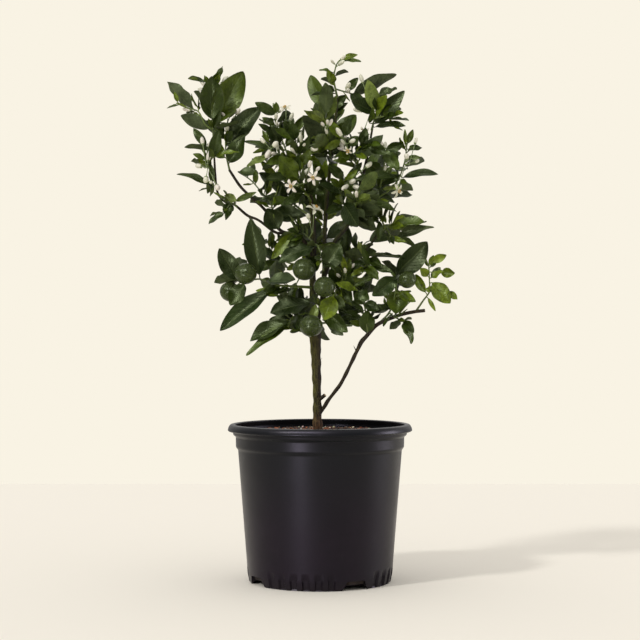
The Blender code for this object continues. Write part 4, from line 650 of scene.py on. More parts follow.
class Shoot:
    def __init__(self, name, parent, radius, twigs):
        self.name, self.parent, self.leaves = name, parent, []
        self.paths = [twig_path(points, radius * STEM_SCALE * (SIDE_TWIG_SHARE if k else 1.0))
                      for k, points in enumerate(twigs)]
        self.routes = [list(path) for path in self.paths]

    def plant(self, limbs, placed):
        self.paths[0] = seated(self.paths[0], TWIG_SIDES, limbs[self.parent].tree())
        for path in self.paths[1:]:
            path[0] = path[0] + (path[0] - path[1]).normalized() * SIDE_TWIG_BITE
        self.wood = [tube(path, TWIG_SIDES, SIDE_TWIG_TURN * k) for k, path in enumerate(self.paths)]
        for wood in self.wood:
            placed.add(self.name, wood)

    def try_leaf(self, leaf, placed):
        """Keeps the leaf if it clears its neighbours well and its own shoot's twigs and blades a little."""
        own = (self.name, self.name + " leaves")
        if not placed.clear(leaf.shape(NEIGHBOUR_CLEARANCE), but=own):
            return False
        blade = leaf.shape(OWN_SHOOT_CLEARANCE, stalk=False, start=OWN_SHOOT_START)
        if not placed.clear_of(blade, own):
            return False
        self.leaves.append(leaf)
        placed.add(self.name + " leaves", leaf.shape())
        return True

    def root_for(self, x, z):
        """The twig's point nearest to (x, z) as seen from the front, and the twig's direction there.

        Leaves at a twig's end are set a little way back from it, each at its own place."""
        path = min(self.paths, key=lambda route: nearest_on(route, x, z)[0])
        distance = nearest_on(path, x, z)[1]
        back = END_MARGIN + LEAF_STEP * (len(self.leaves) % 5)
        return point_along(path, max(min(distance, path_length(path) - back), END_MARGIN))

    def add_leaf(self, row, placed):
        """Adds the leaf of one row, in the first way that finds room."""
        x, z, tip_x, tip_z, forward, width, letters = row
        root, _ = self.root_for(x, z)
        base = Vector((x, root.y, z))
        if (base - root).length < SHORTEST_STALK:
            base = root + (Vector((tip_x, root.y + forward, tip_z)) - root).normalized() * SHORT_STALK
        for size, shift, roll in product(LEAF_SIZES, TIP_SHIFTS, LEAF_ROLLS):
            tip = base.lerp(Vector((tip_x, root.y + forward + shift, tip_z)), (1 + size) / 2)
            turn = Matrix.Rotation(roll, 3, tip - base)
            if self.try_leaf(Leaf(root, base, tip, width * size, turn @ facing(letters)), placed):
                return

    def add_round_leaves(self, count, placed, draw):
        """Leaves set round the twig, each turned on from the last by the golden angle."""
        path = self.paths[0]
        turn = draw.uniform(0, 2 * math.pi)
        spans = list(frames(path))
        for k in range(count):
            share = FIRST_LEAF + (1 - FIRST_LEAF) * k / (count - 1)
            spot, side, across = spans[min(int(share * (len(spans) - 1)), len(spans) - 1)]
            ahead = side.cross(across)
            length = draw.uniform(*LEAF_LENGTHS)
            lean = LEAF_LEAN if k < count - 1 else END_LEAF_LEAN
            for attempt in range(LEAF_TRIES):
                angle = turn + TRY_TURN * attempt * (-1) ** attempt
                out = math.cos(angle) * side + math.sin(angle) * across
                way = (out + ahead * lean + Vector((0, 0, LEAF_LIFT))).normalized()
                size = length * (1 - TRY_SHRINK * attempt)
                base = spot + way * LEAF_STALK
                up = Vector((0, 0, 1)) + 0.7 * out - 0.5 * ahead
                if self.try_leaf(Leaf(spot, base, base + way * size, size * LEAF_SHAPE, up), placed):
                    break
            turn += GOLDEN_ANGLE


def grow_shoots(limbs, paths, placed):
    shoots = {}
    for name, (parent, radius, twigs, _) in SHOOTS.items():
        shoots[name] = Shoot(name, parent, radius, twigs)
    for name, (parent, share, reach, _) in FILL_SHOOTS.items():
        path = paths[parent]
        start = Vector(path[int(share * (len(path) - 1))][:3])
        end = Vector(reach)
        middle = start.lerp(end, 0.5) - Vector((0, 0, FILL_TWIG_SAG * (end - start).length))
        shoots[name] = Shoot(name, parent, FILL_TWIG_RADIUS, [[tuple(start), tuple(middle), tuple(end)]])
    for shoot in shoots.values():
        shoot.plant(limbs, placed)
    return shoots


def grow_leaves(shoots, placed):
    draw = random.Random(SEED)
    for name, (_, _, _, rows) in SHOOTS.items():
        for row in rows:
            shoots[name].add_leaf(row, placed)
    for name, (_, _, _, count) in FILL_SHOOTS.items():
        shoots[name].add_round_leaves(count, placed, draw)


def stalk_start(shoot, x, z):
    """A point on a shoot's twig, given as seen from the front, its direction, and the shoot's skin."""
    spot, ahead = shoot.root_for(x, z)
    wood = Shape()
    for piece in shoot.wood:
        wood.add(piece)
    return spot, ahead, wood.tree()


def off_twig(spot, ahead, goal, reach):
    """A point at this reach from the twig, towards the goal but well clear of the twig's direction."""
    way = goal - spot
    out = way - ahead * way.dot(ahead)
    if out.length < 0.3 * way.length:
        out = ahead.cross(Vector((1, 0, 0.2)))
    return spot + (out.normalized() + 0.5 * way.normalized()).normalized() * reach


def grow_fruits(shoots, placed):
    fruits = {}
    slim, thick = FRUIT_STALK_RADII
    for name, (carrier, (x, z), place, size) in FRUITS.items():
        centre, radius = Vector(place), size * FRUIT_SCALE
        spot, ahead, skin = stalk_start(shoots[carrier], x, z)
        elbow = off_twig(spot, ahead, centre, FRUIT_ELBOW)
        crown = centre - (centre - elbow).normalized() * radius * STALK_DEPTH
        stalk = [Vector((*spot, slim)), Vector((*elbow, slim)), Vector((*crown, thick))]
        for piece in (tube(seated(stalk, TWIG_SIDES, skin), TWIG_SIDES), ball(centre, radius)):
            placed.add(name, piece)
        fruits[name] = (spot, elbow, centre, radius)
    return fruits


def stalked_bud(start, head, length, width):
    """A closed bud at the end of its stalk."""
    way = (head - start).normalized()
    side = way.orthogonal().normalized()
    across = way.cross(side)
    foot = head - way * length / 2
    widest = foot + way * length * 0.6
    rings = [around(spot, size, side, across, BUD_SIDES)
             for spot, size in ((start, STALK_RADIUS), (foot, STALK_RADIUS), (widest, width / 2))]
    return loft(rings, foot + way * length)


def open_flower(centre, way, spread):
    """A five-pointed star with a raised middle."""
    side = way.orthogonal().normalized()
    across = way.cross(side)
    rim = []
    count = 2 * PETAL_COUNT
    for i in range(count):
        angle = 2 * math.pi * i / count
        reach = spread / 2 * (PETAL_NOTCH if i % 2 else 1.0)
        rim.append(centre + reach * (math.cos(angle) * side + math.sin(angle) * across + way * PETAL_RISE))
    shape = Shape(rim + [centre - way * FLOWER_BACK, centre + way * FLOWER_FRONT])
    for i in range(count):
        j = (i + 1) % count
        shape.faces += [(j, i, count), (i, j, count + 1)]
    return shape


def grow_clusters(shoots, placed):
    clusters = {}
    for name, (carrier, (x, z), flowers) in CLUSTERS.items():
        spot, ahead, skin = stalk_start(shoots[carrier], x, z)
        heads = [Vector(row[:3]) for row in flowers]
        middle = sum(heads, Vector()) / len(heads)
        reach = max(CLUSTER_FORK_SHARE * (middle - spot).length, CLUSTER_FORK_LEAST + BUD_STEP * len(heads))
        fork = off_twig(spot, ahead, middle, reach)
        stalk = [Vector((*spot, CLUSTER_STALK_RADIUS)), Vector((*fork, CLUSTER_STALK_RADIUS))]
        pieces = [tube(seated(stalk, TWIG_SIDES, skin), TWIG_SIDES)]
        stems = []
        for k, (head, row) in enumerate(zip(heads, flowers)):
            start = fork + (spot - fork).normalized() * (BUD_START + BUD_STEP * k)
            way = (head - start).normalized()
            length, width = row[3], row[4]
            stems.append((start, head, length, width))
            if width:
                pieces.append(stalked_bud(start, head, length, width))
            else:
                ends = [Vector((*start, STALK_RADIUS)), Vector((*(head + way * 0.8), STALK_RADIUS))]
                pieces.append(tube(ends, BUD_SIDES))
                pieces.append(open_flower(head, (way + Vector((0, -1.2, 0))).normalized(), length))
        for piece in pieces:
            placed.add(name, piece)
        clusters[name] = (spot, fork, stems)
    return clusters


# ---- what only the looks need -------------------------------------------------------------------

SOIL_DROP = 12.0
MOUND_HEIGHT = 4.0
SOIL_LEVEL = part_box("nursery_pot")[1].z / MM - SOIL_DROP + MOUND_HEIGHT

# One letter for each row of leaves above: dark, mid, olive, young, pale, grey or shiny. Grey is partly a
# grey-green leaf and partly a painted sheen.
LEAF_TONES = {
    "upper_left_shoot": "gyyygmmoyymm", "left_inner_shoot": "dommm", "left_outer_shoot": "mmmyommom",
    "left_low_shoot": "mmpom", "left_limb_shoot": "dmomommm", "centre_left_shoot": "mpyomyomomdmmm",
    "centre_front_shoot": "ommmmomom", "top_shoot": "goyommmmmm", "upper_right_shoot": "pmddoymmommm",
    "right_front_shoot": "gmmyymmom", "right_rising_shoot": "msoyomomompmmmm",
    "right_centre_shoot": "dmsmmom", "right_outer_shoot": "ogymmommm", "right_low_shoot": "spmymmom",
    "right_inner_shoot": "omdsoymmmmm", "side_stem_shoot": "mmmomommmmmm",
    "side_tip_shoot": "yyyyyyyyyy", "centre_low_shoot": "ssymmm", "low_right_front_shoot": "myomm",
    "low_left_shoot": "dmompymmmm", "left_low_branch": "ddssmmmmmm",
}
FILL_TONES = "mmdmoms"
SMALL_TONES = "moyymoyo"
# The grey tone g, lighter and less green than the rest, is partly a painted sheen on leaves turned to the
# light
TONES = {
    "d": (30, 43, 12), "m": (48, 64, 13), "o": (78, 96, 18), "y": (118, 138, 26), "p": (142, 158, 76),
    "g": (86, 98, 66), "s": (38, 55, 18), "twig": (96, 114, 32), "bud_stalk": (96, 114, 50),
}
SHADE_SPREAD = 0.14
WARMTH_SPREAD = 0.06

# Small young leaves and single buds fill each shoot out: how many, by the first word here that is
# in the shoot's name. For one leaf or bud, so many places are tried.
SMALL_LEAVES = {"front": 28, "centre": 26, "back": 14, "top_shoot": 2, "side": 3, "upper": 12, "low": 7,
                "right": 16, "left": 10}
OTHER_SMALL_LEAVES = 6
SMALL_LEAF_TRIES = 12
SMALL_LENGTHS = (13.0, 34.0)
SMALL_SHAPES = (0.36, 0.48)
SMALL_STALKS = (2.5, 4.5)
SMALL_BUDS = {"upper": 4, "top_shoot": 6, "centre_left": 5, "centre_front": 5, "right_front": 5, "rising": 4,
              "left_inner": 3, "left_outer": 3, "front_high": 5, "front_right": 2, "back_top": 3,
              "back_high": 2}
OTHER_SMALL_BUDS = 0
SMALL_BUD_TRIES = 14
SMALL_BUD_LENGTHS = (9, 15)
SMALL_BUD_STALKS = (4, 8)
SMALL_BUD_SHAPES = (0.40, 0.50)
SMALL_BUD_MARGIN = 5.0

# The fine leaf: rings from the base of the blade to its tip, and the places across each ring
BLADE_STATIONS = (0.0, 0.02, 0.06, 0.12, 0.19, 0.27, 0.36, 0.45, 0.54, 0.63, 0.72, 0.80, 0.87, 0.93, 0.975)
BLADE_ACROSS = (-1, -0.62, -0.28, 0, 0.28, 0.62, 1)
UPPER_STRIPS = len(BLADE_ACROSS) - 1
BLADE_RING = 2 * UPPER_STRIPS
TIP_DRAW = 0.90
BASE_BLUNTNESS = 0.74
SHEET = 0.35
RIB = 0.55
RIB_FADE = 0.75
CURLS = (-0.12, 0.08)
FOLDS = (1.0, 4.2)
FOLD_ROUNDNESS = 1.3
WAVES = (0.03, 0.10)
WAVE_COUNTS = (1.3, 2.6)
WAVE_PHASES = (0, 6.3)
WAVE_LAG = 2.2
TWISTS = (-0.75, 0.75)
UNTWISTED = 0.3
PETIOLE = 0.75
PETIOLE_STATIONS = (0.0, 0.35, 0.7)
PETIOLE_TAPER = 0.3
PETIOLE_FOOT = 1.15
PETIOLE_BEND = 0.4
USUAL_LEAF = 40
STALK_MARK = (0.0, 0.5)
TIP_MARK = (1.0, 0.5)

# The fine twig: points between its rows, corners round it, and how it swells at its foot and joints
TWIG_STEPS = 5
TWIG_ROUND = 8
FOOT_SWELL = 0.25
FOOT_SWELL_REACH = 1.6
JOINT_SWELL = 0.10
JOINT_PITCH = 1.9


def linear(colour):
    """A colour given as 0 to 255 display values, in the shader's linear values."""
    return tuple((c / 255 / 12.92) if c <= 10 else ((c / 255 + 0.055) / 1.055) ** 2.4 for c in colour)


def varied(tone, draw):
    """One of the named tones, a little lighter or darker, and a little warmer or cooler."""
    shade = 1 + draw.uniform(-SHADE_SPREAD, SHADE_SPREAD)
    warm = draw.uniform(-WARMTH_SPREAD, WARMTH_SPREAD)
    r, g, b = linear(TONES[tone])
    return (r * shade * (1 + warm), g * shade, b * shade * (1 - warm))


def crossways(way):
    """Two directions at right angles to the way and to each other."""
    side = way.orthogonal().normalized()
    return side, way.cross(side)


def outward(mesh):
    """Turns the faces of a closed mesh outwards."""
    work = bmesh.new()
    work.from_mesh(mesh)
    bmesh.ops.recalc_face_normals(work, faces=work.faces)
    work.to_mesh(mesh)
    work.free()


def stood(name, data):
    """A new object in the scene."""
    made = bpy.data.objects.new(name, data)
    bpy.context.scene.collection.objects.link(made)
    return made


class Skin:
    """A growing list of closed shapes, with a material number, a tone and leaf coordinates."""

    def __init__(self):
        self.points, self.faces, self.kinds, self.tones, self.marks = [], [], [], [], []

    def add(self, rings, tone, kinds, tip=None, marks=None):
        """Joins rings of equal size into a closed skin.

        kinds is one material number, or gives one for a level and a strip."""
        start, count, last = len(self.points), len(rings[0]), len(rings) - 1
        shape = loft(rings, tip)
        strips = [(level, i) for level in range(last) for i in range(count)] + [(0, 0)]
        strips += [(last, 0)] if tip is None else [(last, i) for i in range(count)]
        self.points += [tuple(point) for point in shape.points]
        self.faces += [tuple(start + i for i in face) for face in shape.faces]
        self.kinds += [kinds(*strip) if callable(kinds) else kinds for strip in strips]
        self.marks += marks or [STALK_MARK] * (count * len(rings))
        self.marks += [] if tip is None else [TIP_MARK]
        self.tones += [tone] * len(shape.points)

    def made(self, name, materials, slot, nodes, crease, lift=0.0):
        """The object for this skin, which rides on the root and stands for the given CAD nodes."""
        mesh = bpy.data.meshes.new(name)
        places = [(x * MM, y * MM, (z + lift) * MM) for x, y, z in self.points]
        mesh.from_pydata(places, [], self.faces)
        mesh.polygons.foreach_set("material_index", self.kinds)
        outward(mesh)
        tones = mesh.color_attributes.new("tone", "FLOAT_COLOR", "POINT")
        tones.data.foreach_set("color", np.array([(*t, 1.0) for t in self.tones], np.float32).ravel())
        marks = mesh.uv_layers.new(name="leaf")
        corner = np.zeros(len(mesh.loops), np.int32)
        mesh.loops.foreach_get("vertex_index", corner)
        marks.data.foreach_set("uv", np.array(self.marks, np.float32)[corner].ravel())
        mesh.shade_smooth()
        mesh.set_sharp_from_angle(angle=math.radians(crease))
        for material in materials:
            mesh.materials.append(material)
        piece = stood(name, mesh)
        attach(piece, "root")
        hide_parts(*nodes)


# ---- fine leaves, twigs, buds and flowers -------------------------------------------------------

def round_rings(path, sides, wobble=0.0):
    """Rings round a smooth path of (x, y, z, radius) points, with an uneven skin if asked."""
    rings = []
    for row, (spot, side, across) in zip(path, frames(path)):
        ring = around(spot, row[3], side, across, sides)
        if wobble:
            outs = around(Vector(), 1, side, across, sides)
            lumps = [1 + wobble * noise.noise(Vector((out.x * 2.2, out.y * 2.2, spot.z * 0.09 + out.z)))
                     for out in outs]
            ring = [spot + out * row[3] * lump for out, lump in zip(outs, lumps)]
        rings.append(ring)
    return rings


def leaf_outline(share):
    """How wide a leaf is along its length, as a share of its full width."""
    return math.sin(math.pi * share ** TIP_DRAW) ** BASE_BLUNTNESS if 0 < share < 1 else 0.0


def circle(spot, ahead, side, size):
    """A ring round a leaf's stalk, with its points in the same order as a ring of the blade."""
    side = (side - ahead * ahead.dot(side)).normalized()
    up = side.cross(ahead)
    angles = [math.pi - math.pi * i / UPPER_STRIPS for i in range(BLADE_RING)]
    return [spot + size * (side * math.cos(a) + up * math.sin(a)) for a in angles]


UPPER, UNDER, WOOD = 0, 1, 2


def leaf_kind(level, strip):
    """The material of one face of a leaf: its stalk, or the upper or the under side of its blade."""
    if level < len(PETIOLE_STATIONS):
        return WOOD
    return UPPER if strip < UPPER_STRIPS else UNDER


def fine_leaf(skin, leaf, root, tone, draw):
    """A thin curved blade with a folded midrib on its stalk, as one closed skin."""
    axis = (leaf.tip - leaf.base).normalized()
    curl = draw.uniform(*CURLS) * leaf.length
    fold = LEAF_FOLD * draw.uniform(*FOLDS)
    wave = draw.uniform(*WAVES) * leaf.width
    pitch, phase = draw.uniform(*WAVE_COUNTS), draw.uniform(*WAVE_PHASES)
    twist = draw.uniform(*TWISTS)
    size = PETIOLE * (0.7 + 0.3 * min(leaf.length / USUAL_LEAF, 1.3))
    rings, marks = [], []
    bend = leaf.base - axis * (leaf.base - root).length * PETIOLE_BEND
    for t in PETIOLE_STATIONS:
        spot = root * (1 - t) ** 2 + bend * 2 * t * (1 - t) + leaf.base * t ** 2
        ahead = ((bend - root) * (1 - t) + (leaf.base - bend) * t).normalized()
        rings.append(circle(spot, ahead, leaf.side, size * (PETIOLE_FOOT - PETIOLE_TAPER * t)))
        marks += [STALK_MARK] * BLADE_RING
    across = [(v + 1) / 2 for v in BLADE_ACROSS]
    for share in BLADE_STATIONS:
        turn = Matrix.Rotation(twist * (share - UNTWISTED), 3, axis)
        side, up = turn @ leaf.side, turn @ leaf.up
        half = max(leaf.width / 2 * leaf_outline(share), size)
        centre = leaf.spot(share) + leaf.up * curl * share ** 3
        marks += [(share, a) for a in across + across[-2:0:-1]]
        if share == 0.0:
            rings.append(circle(centre, axis, leaf.side, size))
            continue
        top = []
        for v in BLADE_ACROSS:
            lag = WAVE_LAG if v > 0 else 0.0
            ripple = wave * math.sin(2 * math.pi * pitch * share + phase + lag) * v * v
            sunk = -fold * half * (1 - abs(v) ** FOLD_ROUNDNESS) * min(share * 8, 1)
            top.append(centre + side * (v * half) + up * (sunk + ripple))
        rib = RIB * (1 - RIB_FADE * share)
        below = [top[k] - up * (SHEET + (rib if k == UPPER_STRIPS // 2 else 0.0))
                 for k in range(UPPER_STRIPS - 1, 0, -1)]
        rings.append(top + below)
    skin.add(rings, tone, leaf_kind, tip=leaf.spot(1.0) + leaf.up * curl, marks=marks)


def nearest_of(points, goal):
    return min(points, key=lambda p: (p - goal).length_squared)


def fine_twig(skin, route, tone):
    """A round twig along its route, thicker where it leaves its carrier. Gives back its middle line."""
    path = smooth(route, TWIG_STEPS)
    for k, row in enumerate(path):
        near = max(0.0, 1 - k / (FOOT_SWELL_REACH * TWIG_STEPS))
        row[3] *= 1 + FOOT_SWELL * near + JOINT_SWELL * math.sin(k * JOINT_PITCH) ** 8
    ahead = (Vector(path[-1][:3]) - Vector(path[-2][:3])).normalized()
    path.append(Vector((*(Vector(path[-1][:3]) + ahead * 0.7), path[-1][3] * 0.4)))
    skin.add(round_rings(path, TWIG_ROUND), tone, WOOD)
    return [Vector(row[:3]) for row in path]


def within_box(point, margin=0.0):
    """Whether a point of the plant keeps this margin inside the CAD's box."""
    low, high = (Vector(corner) / MM - Vector((0, 0, SOIL_LEVEL)) for corner in CAD_BOX)
    return all(low[k] < point[k] - margin and point[k] + margin < high[k] for k in range(3))


def small_leaves(shoot, count, placed, draw):
    """Young leaves set at random along a shoot's twigs where there is room. They aren't in the CAD."""
    known = len(shoot.leaves)
    for _ in range(count * SMALL_LEAF_TRIES):
        if len(shoot.leaves) - known >= count:
            break
        path = draw.choice(shoot.paths)
        root, ahead = point_along(path, path_length(path) * draw.uniform(0.15, 0.97))
        side, across = crossways(ahead)
        angle = draw.uniform(0, 2 * math.pi)
        out = math.cos(angle) * side + math.sin(angle) * across
        way = (out + ahead * draw.uniform(0.3, 1.2) + Vector((0, 0, 0.2))).normalized()
        length = draw.uniform(*SMALL_LENGTHS)
        base = root + way * draw.uniform(*SMALL_STALKS)
        tip = base + way * length
        if within_box(tip):
            up = Vector((0, 0, 1)) + 0.8 * out - 0.4 * ahead + Vector((0, -0.3, 0))
            shoot.try_leaf(Leaf(root, base, tip, length * draw.uniform(*SMALL_SHAPES), up), placed)


def small_buds(shoot, count, placed, draw):
    """Single buds near the ends of a shoot's twigs, where there is room. They aren't in the CAD."""
    grown = []
    for _ in range(count * SMALL_BUD_TRIES):
        if len(grown) >= count:
            break
        path = draw.choice(shoot.paths)
        root, ahead = point_along(path, path_length(path) * draw.uniform(0.45, 0.99))
        out = Vector((draw.uniform(-1, 1), draw.uniform(-1.2, 0.5), draw.uniform(-0.2, 1)))
        length = draw.uniform(*SMALL_BUD_LENGTHS)
        reach = length / 2 + draw.uniform(*SMALL_BUD_STALKS)
        head = root + (out + ahead * 0.6).normalized() * reach
        bud = stalked_bud(root.lerp(head, 0.2), head, length, length * 0.5)
        if within_box(head, SMALL_BUD_MARGIN) and placed.clear(bud, but=(shoot.name,)):
            placed.add(shoot.name + " buds", bud)
            grown.append((root, head, length, length * draw.uniform(*SMALL_BUD_SHAPES)))
    return grown


def round_skin(skin, centre, way, profile, tone, kind, sides=12, lobes=0, depth=0.0, turn=0.0):
    """A turned shape about a line, from (distance along, radius) pairs, with soft lobes if asked."""
    side, across = crossways(way)
    rings = []
    for along, radius in profile:
        ring = []
        for i in range(sides):
            angle = turn + 2 * math.pi * i / sides
            reach = radius * (1 - depth * (0.5 - 0.5 * math.cos(lobes * angle)))
            ring.append(centre + way * along + reach * (math.cos(angle) * side + math.sin(angle) * across))
        rings.append(ring)
    skin.add(rings, tone, kind)


PETAL, CALYX, STAMEN = 0, 1, 2
LEAFY_PETAL, LEAFY_CALYX = 3, 4
FRUIT = 0
PETAL_TONES = ((238, 236, 216), (232, 232, 208), (240, 234, 220))
CALYX_TONE = (128, 148, 84)
STAMEN_TONE = (222, 176, 74)
FILAMENT_TONE = (240, 240, 226)
PEEL_TONE = (22, 35, 9)
STAR_TONE = (104, 120, 66)
SCAR_TONE = (60, 52, 30)

# A bud's outline beyond its foot, as shares of its length and of its half width
BUD_OUTLINE = ((0.22, 0.80), (0.42, 0.97), (0.62, 1.0), (0.78, 0.86), (0.90, 0.58), (0.97, 0.30), (1, 0.08))
BUD_LOBE_DEPTH = 0.09
CALYX_ROUND = 15
CALYX_LOBE_DEPTH = 0.12
STALK_ROUND = 7

# A petal's outline as (share of its length, share of its width), and how its rows are cupped
PETAL_OUTLINE = ((0.0, 0.30), (0.2, 0.72), (0.42, 0.98), (0.64, 1.0), (0.82, 0.78), (0.94, 0.42))
PETAL_WIDTH = 0.215
PETAL_CUP = 0.30
PETAL_RISES = (0.3, 1.6)
PETAL_DROOP = 0.22
PETAL_LIFT = 0.35
PETAL_SWING = 2.2
PETAL_EDGE, PETAL_MIDDLE = 0.45, 0.55
STAMEN_COUNT = 12
ANTHER_OUTLINE = ((-0.3, 0.2), (0.0, 0.5), (0.9, 0.5), (1.2, 0.2))
PISTIL_END = ((0.2, 0.4), (0.22, 0.8), (0.24, 0.5))
FLOWER_CUP = ((-1.8, 0.4), (-1.4, 1.2), (-0.5, 1.7), (0.3, 1.9), (0.5, 1.2))

# The fruit's skin, its star of sepals and the scar at its far end
FRUIT_LEVELS = 26
FRUIT_ROUND = 40
FRUIT_FLATNESS = 0.96
FRUIT_LUMPS = 0.022
STAR_OUTLINE = ((0.2, 1.7), (0.9, 3.9), (1.3, 3.6), (1.0, 1.4))
STAR_LOBE_DEPTH = 0.34
SCAR_OUTLINE = ((-0.4, 0.9), (0.25, 0.8), (0.45, 0.4))


def fine_stalk(skin, points, sizes, tone, kind=CALYX, sides=STALK_ROUND):
    path = smooth([Vector((*p, r)) for p, r in zip(points, sizes)], 4)
    skin.add(round_rings(path, sides), tone, kind)


def fine_bud(skin, start, head, length, width, draw, petal_kind=PETAL, calyx_kind=CALYX):
    """A closed bud: five petals wrapped together on a green calyx."""
    way = (head - start).normalized()
    foot = head - way * length / 2
    stalk = [start, start.lerp(foot, 0.5) - Vector((0, 0, 0.4)), foot]
    fine_stalk(skin, stalk, [0.55, 0.5, 0.75], linear(CALYX_TONE), calyx_kind)
    size = width / 2
    petal = linear(draw.choice(PETAL_TONES))
    shape = [(0.3, 0.42 * size), (1.2, 0.62 * size)]
    shape += [(share * length, wide * size) for share, wide in BUD_OUTLINE]
    round_skin(skin, foot, way, shape, petal, petal_kind, CALYX_ROUND, PETAL_COUNT, BUD_LOBE_DEPTH,
               draw.uniform(0, 6))
    cup = [(-0.2, 0.4), (0.2, 0.9), (0.9, 0.66 * size + 0.35), (1.9, 0.80 * size + 0.1), (2.1, 0.62 * size)]
    round_skin(skin, foot, way, cup, linear(CALYX_TONE), calyx_kind, CALYX_ROUND, PETAL_COUNT,
               CALYX_LOBE_DEPTH)


def fine_petal(skin, centre, way, out, length, width, tone, lift):
    """One petal, cupped and bent back, from the flower's middle outwards."""
    side = way.cross(out).normalized()
    rings = []
    for share, wide in PETAL_OUTLINE:
        rise = lift * math.sin(share * PETAL_SWING) * length * PETAL_LIFT - PETAL_DROOP * length * share ** 3
        spot = centre + out * (length * share) + way * rise
        half = width / 2 * wide
        cup = half * PETAL_CUP
        row = [spot - side * half + way * cup, spot - side * half * 0.5 + way * cup * 0.2, spot,
               spot + side * half * 0.5 + way * cup * 0.2, spot + side * half + way * cup]
        row += [row[3] - way * PETAL_EDGE, row[2] - way * PETAL_MIDDLE, row[1] - way * PETAL_EDGE]
        rings.append(row)
    rise = lift * math.sin(PETAL_SWING) * length * PETAL_LIFT - PETAL_DROOP * length
    skin.add(rings, tone, PETAL, tip=centre + out * length + way * rise)


def fine_flower(skin, start, head, spread, draw):
    """An open flower: five petals, a ring of stamens with yellow tips and a green pistil."""
    way = (head - start).normalized()
    green = linear(CALYX_TONE)
    face = (way + Vector((draw.uniform(-1.2, 1.2), -0.6, draw.uniform(-0.9, 0.7)))).normalized()
    fine_stalk(skin, [start, start.lerp(head, 0.6), head - face * 1.0], [0.55, 0.5, 0.9], green)
    round_skin(skin, head, face, FLOWER_CUP, green, CALYX, CALYX_ROUND, PETAL_COUNT, CALYX_LOBE_DEPTH)
    side, across = crossways(face)
    turn = draw.uniform(0, 6)
    tone = linear(draw.choice(PETAL_TONES))
    for k in range(PETAL_COUNT):
        angle = turn + 2 * math.pi * k / PETAL_COUNT + draw.uniform(-0.2, 0.2)
        out = math.cos(angle) * side + math.sin(angle) * across
        length = spread / 2 * draw.uniform(0.92, 1.08)
        fine_petal(skin, head + out * 0.8, face, out, length, spread * PETAL_WIDTH, tone,
                   draw.uniform(*PETAL_RISES))
    for out in around(Vector(), 1, side, across, STAMEN_COUNT):
        foot, top = head + out * 1.2, head + out * 1.9 + face * spread * draw.uniform(0.20, 0.26)
        fine_stalk(skin, [foot, top], [0.28, 0.20], linear(FILAMENT_TONE), PETAL, 5)
        round_skin(skin, top - face * 0.2, face, ANTHER_OUTLINE, linear(STAMEN_TONE), STAMEN, 6)
    pistil = [(0.0, 0.9), (1.6, 1.0), (2.6, 0.5)]
    pistil += [(spread * share, radius) for share, radius in PISTIL_END]
    round_skin(skin, head, face, pistil, green, CALYX, 8)


def fine_fruit(skin, spot, elbow, centre, radius):
    """A green fruit with its star of sepals and a dark scar at the far end."""
    way = (centre - elbow).normalized()
    crown = centre - way * radius * 0.93
    fine_stalk(skin, [spot, elbow, elbow.lerp(crown, 0.6), crown], [1.0, 0.95, 0.95, 1.5],
               linear(TONES["bud_stalk"]), CALYX, 9)
    rings = []
    side, across = crossways(way)
    for k in range(1, FRUIT_LEVELS):
        polar = math.pi * k / FRUIT_LEVELS
        dent = 0.05 * math.exp(-((polar / 0.30) ** 2)) + 0.03 * math.exp(-(((math.pi - polar) / 0.22) ** 2))
        ring = []
        for out in around(way * -math.cos(polar) * (0.97 - dent), math.sin(polar), side, across, FRUIT_ROUND):
            point = out * radius * (1 + FRUIT_LUMPS * noise.noise(out * 1.6 + centre * 0.1))
            point.z *= FRUIT_FLATNESS
            ring.append(centre + point)
        rings.append(ring)
    skin.add(rings, linear(PEEL_TONE), FRUIT, tip=centre + way * radius * 0.925)
    round_skin(skin, crown - way * 0.9, way, STAR_OUTLINE, linear(STAR_TONE), CALYX, 30, PETAL_COUNT,
               STAR_LOBE_DEPTH)
    round_skin(skin, centre + way * radius * 0.905, way, SCAR_OUTLINE, linear(SCAR_TONE), CALYX, 10)


# ---- wood ---------------------------------------------------------------------------------------

LIMB_TONES = {"trunk": (96, 94, 40), "side_stem": (66, 60, 36), "centre_leader": (92, 98, 38),
              "centre_stem": (88, 94, 36), "left_limb": (56, 54, 32), "left_outer_limb": (56, 56, 32),
              "right_limb": (66, 72, 32), "right_low_limb": (74, 84, 34)}
# A painted shadow tone, for the side of each limb that faces away from the key light
PAINTED_SHADE_TONE = (50, 38, 36)
FOOT_TONE = (112, 82, 58)
FOOT_REACH = 26
CUT_TONE = (196, 170, 124)
CUT_ENDS = {"side_stem": 2.3}
# The cut stub on the trunk's fork, as its middle line and its radius, and thorns as (foot, tip)
STUB = ((-4, -1, 40), (2, -4, 44), (7, -6, 48), 2.7)
THORNS = (((4, 17, 176), (10, 11, 184)), ((-11, 5, 214), (-19, 1, 221)), ((6, 15, 262), (13, 9, 268)),
          ((-4, 0, 92), (3, -6, 99)), ((50, -6, 108), (46, -12, 116)), ((90, -8, 149), (94, -14, 157)))
THORN_REACH = 3.0
LIMB_STEPS = 9
LIMB_ROUND, TRUNK_ROUND = 14, 22
LIMB_WOBBLE = 0.16
LIMB_WAVE = 0.05
LIMB_LUMPS = 0.10
# The trunk swells at its fork and is narrowed just above the soil: how much, where, and over what length
FORK_SWELL, FORK_HEIGHT, FORK_REACH = 1.2, 142, 14
COLLAR_TUCK, COLLAR_REACH = 1.3, 12
BARE = (0, 0, 0)
BARK, CUT = 0, 1


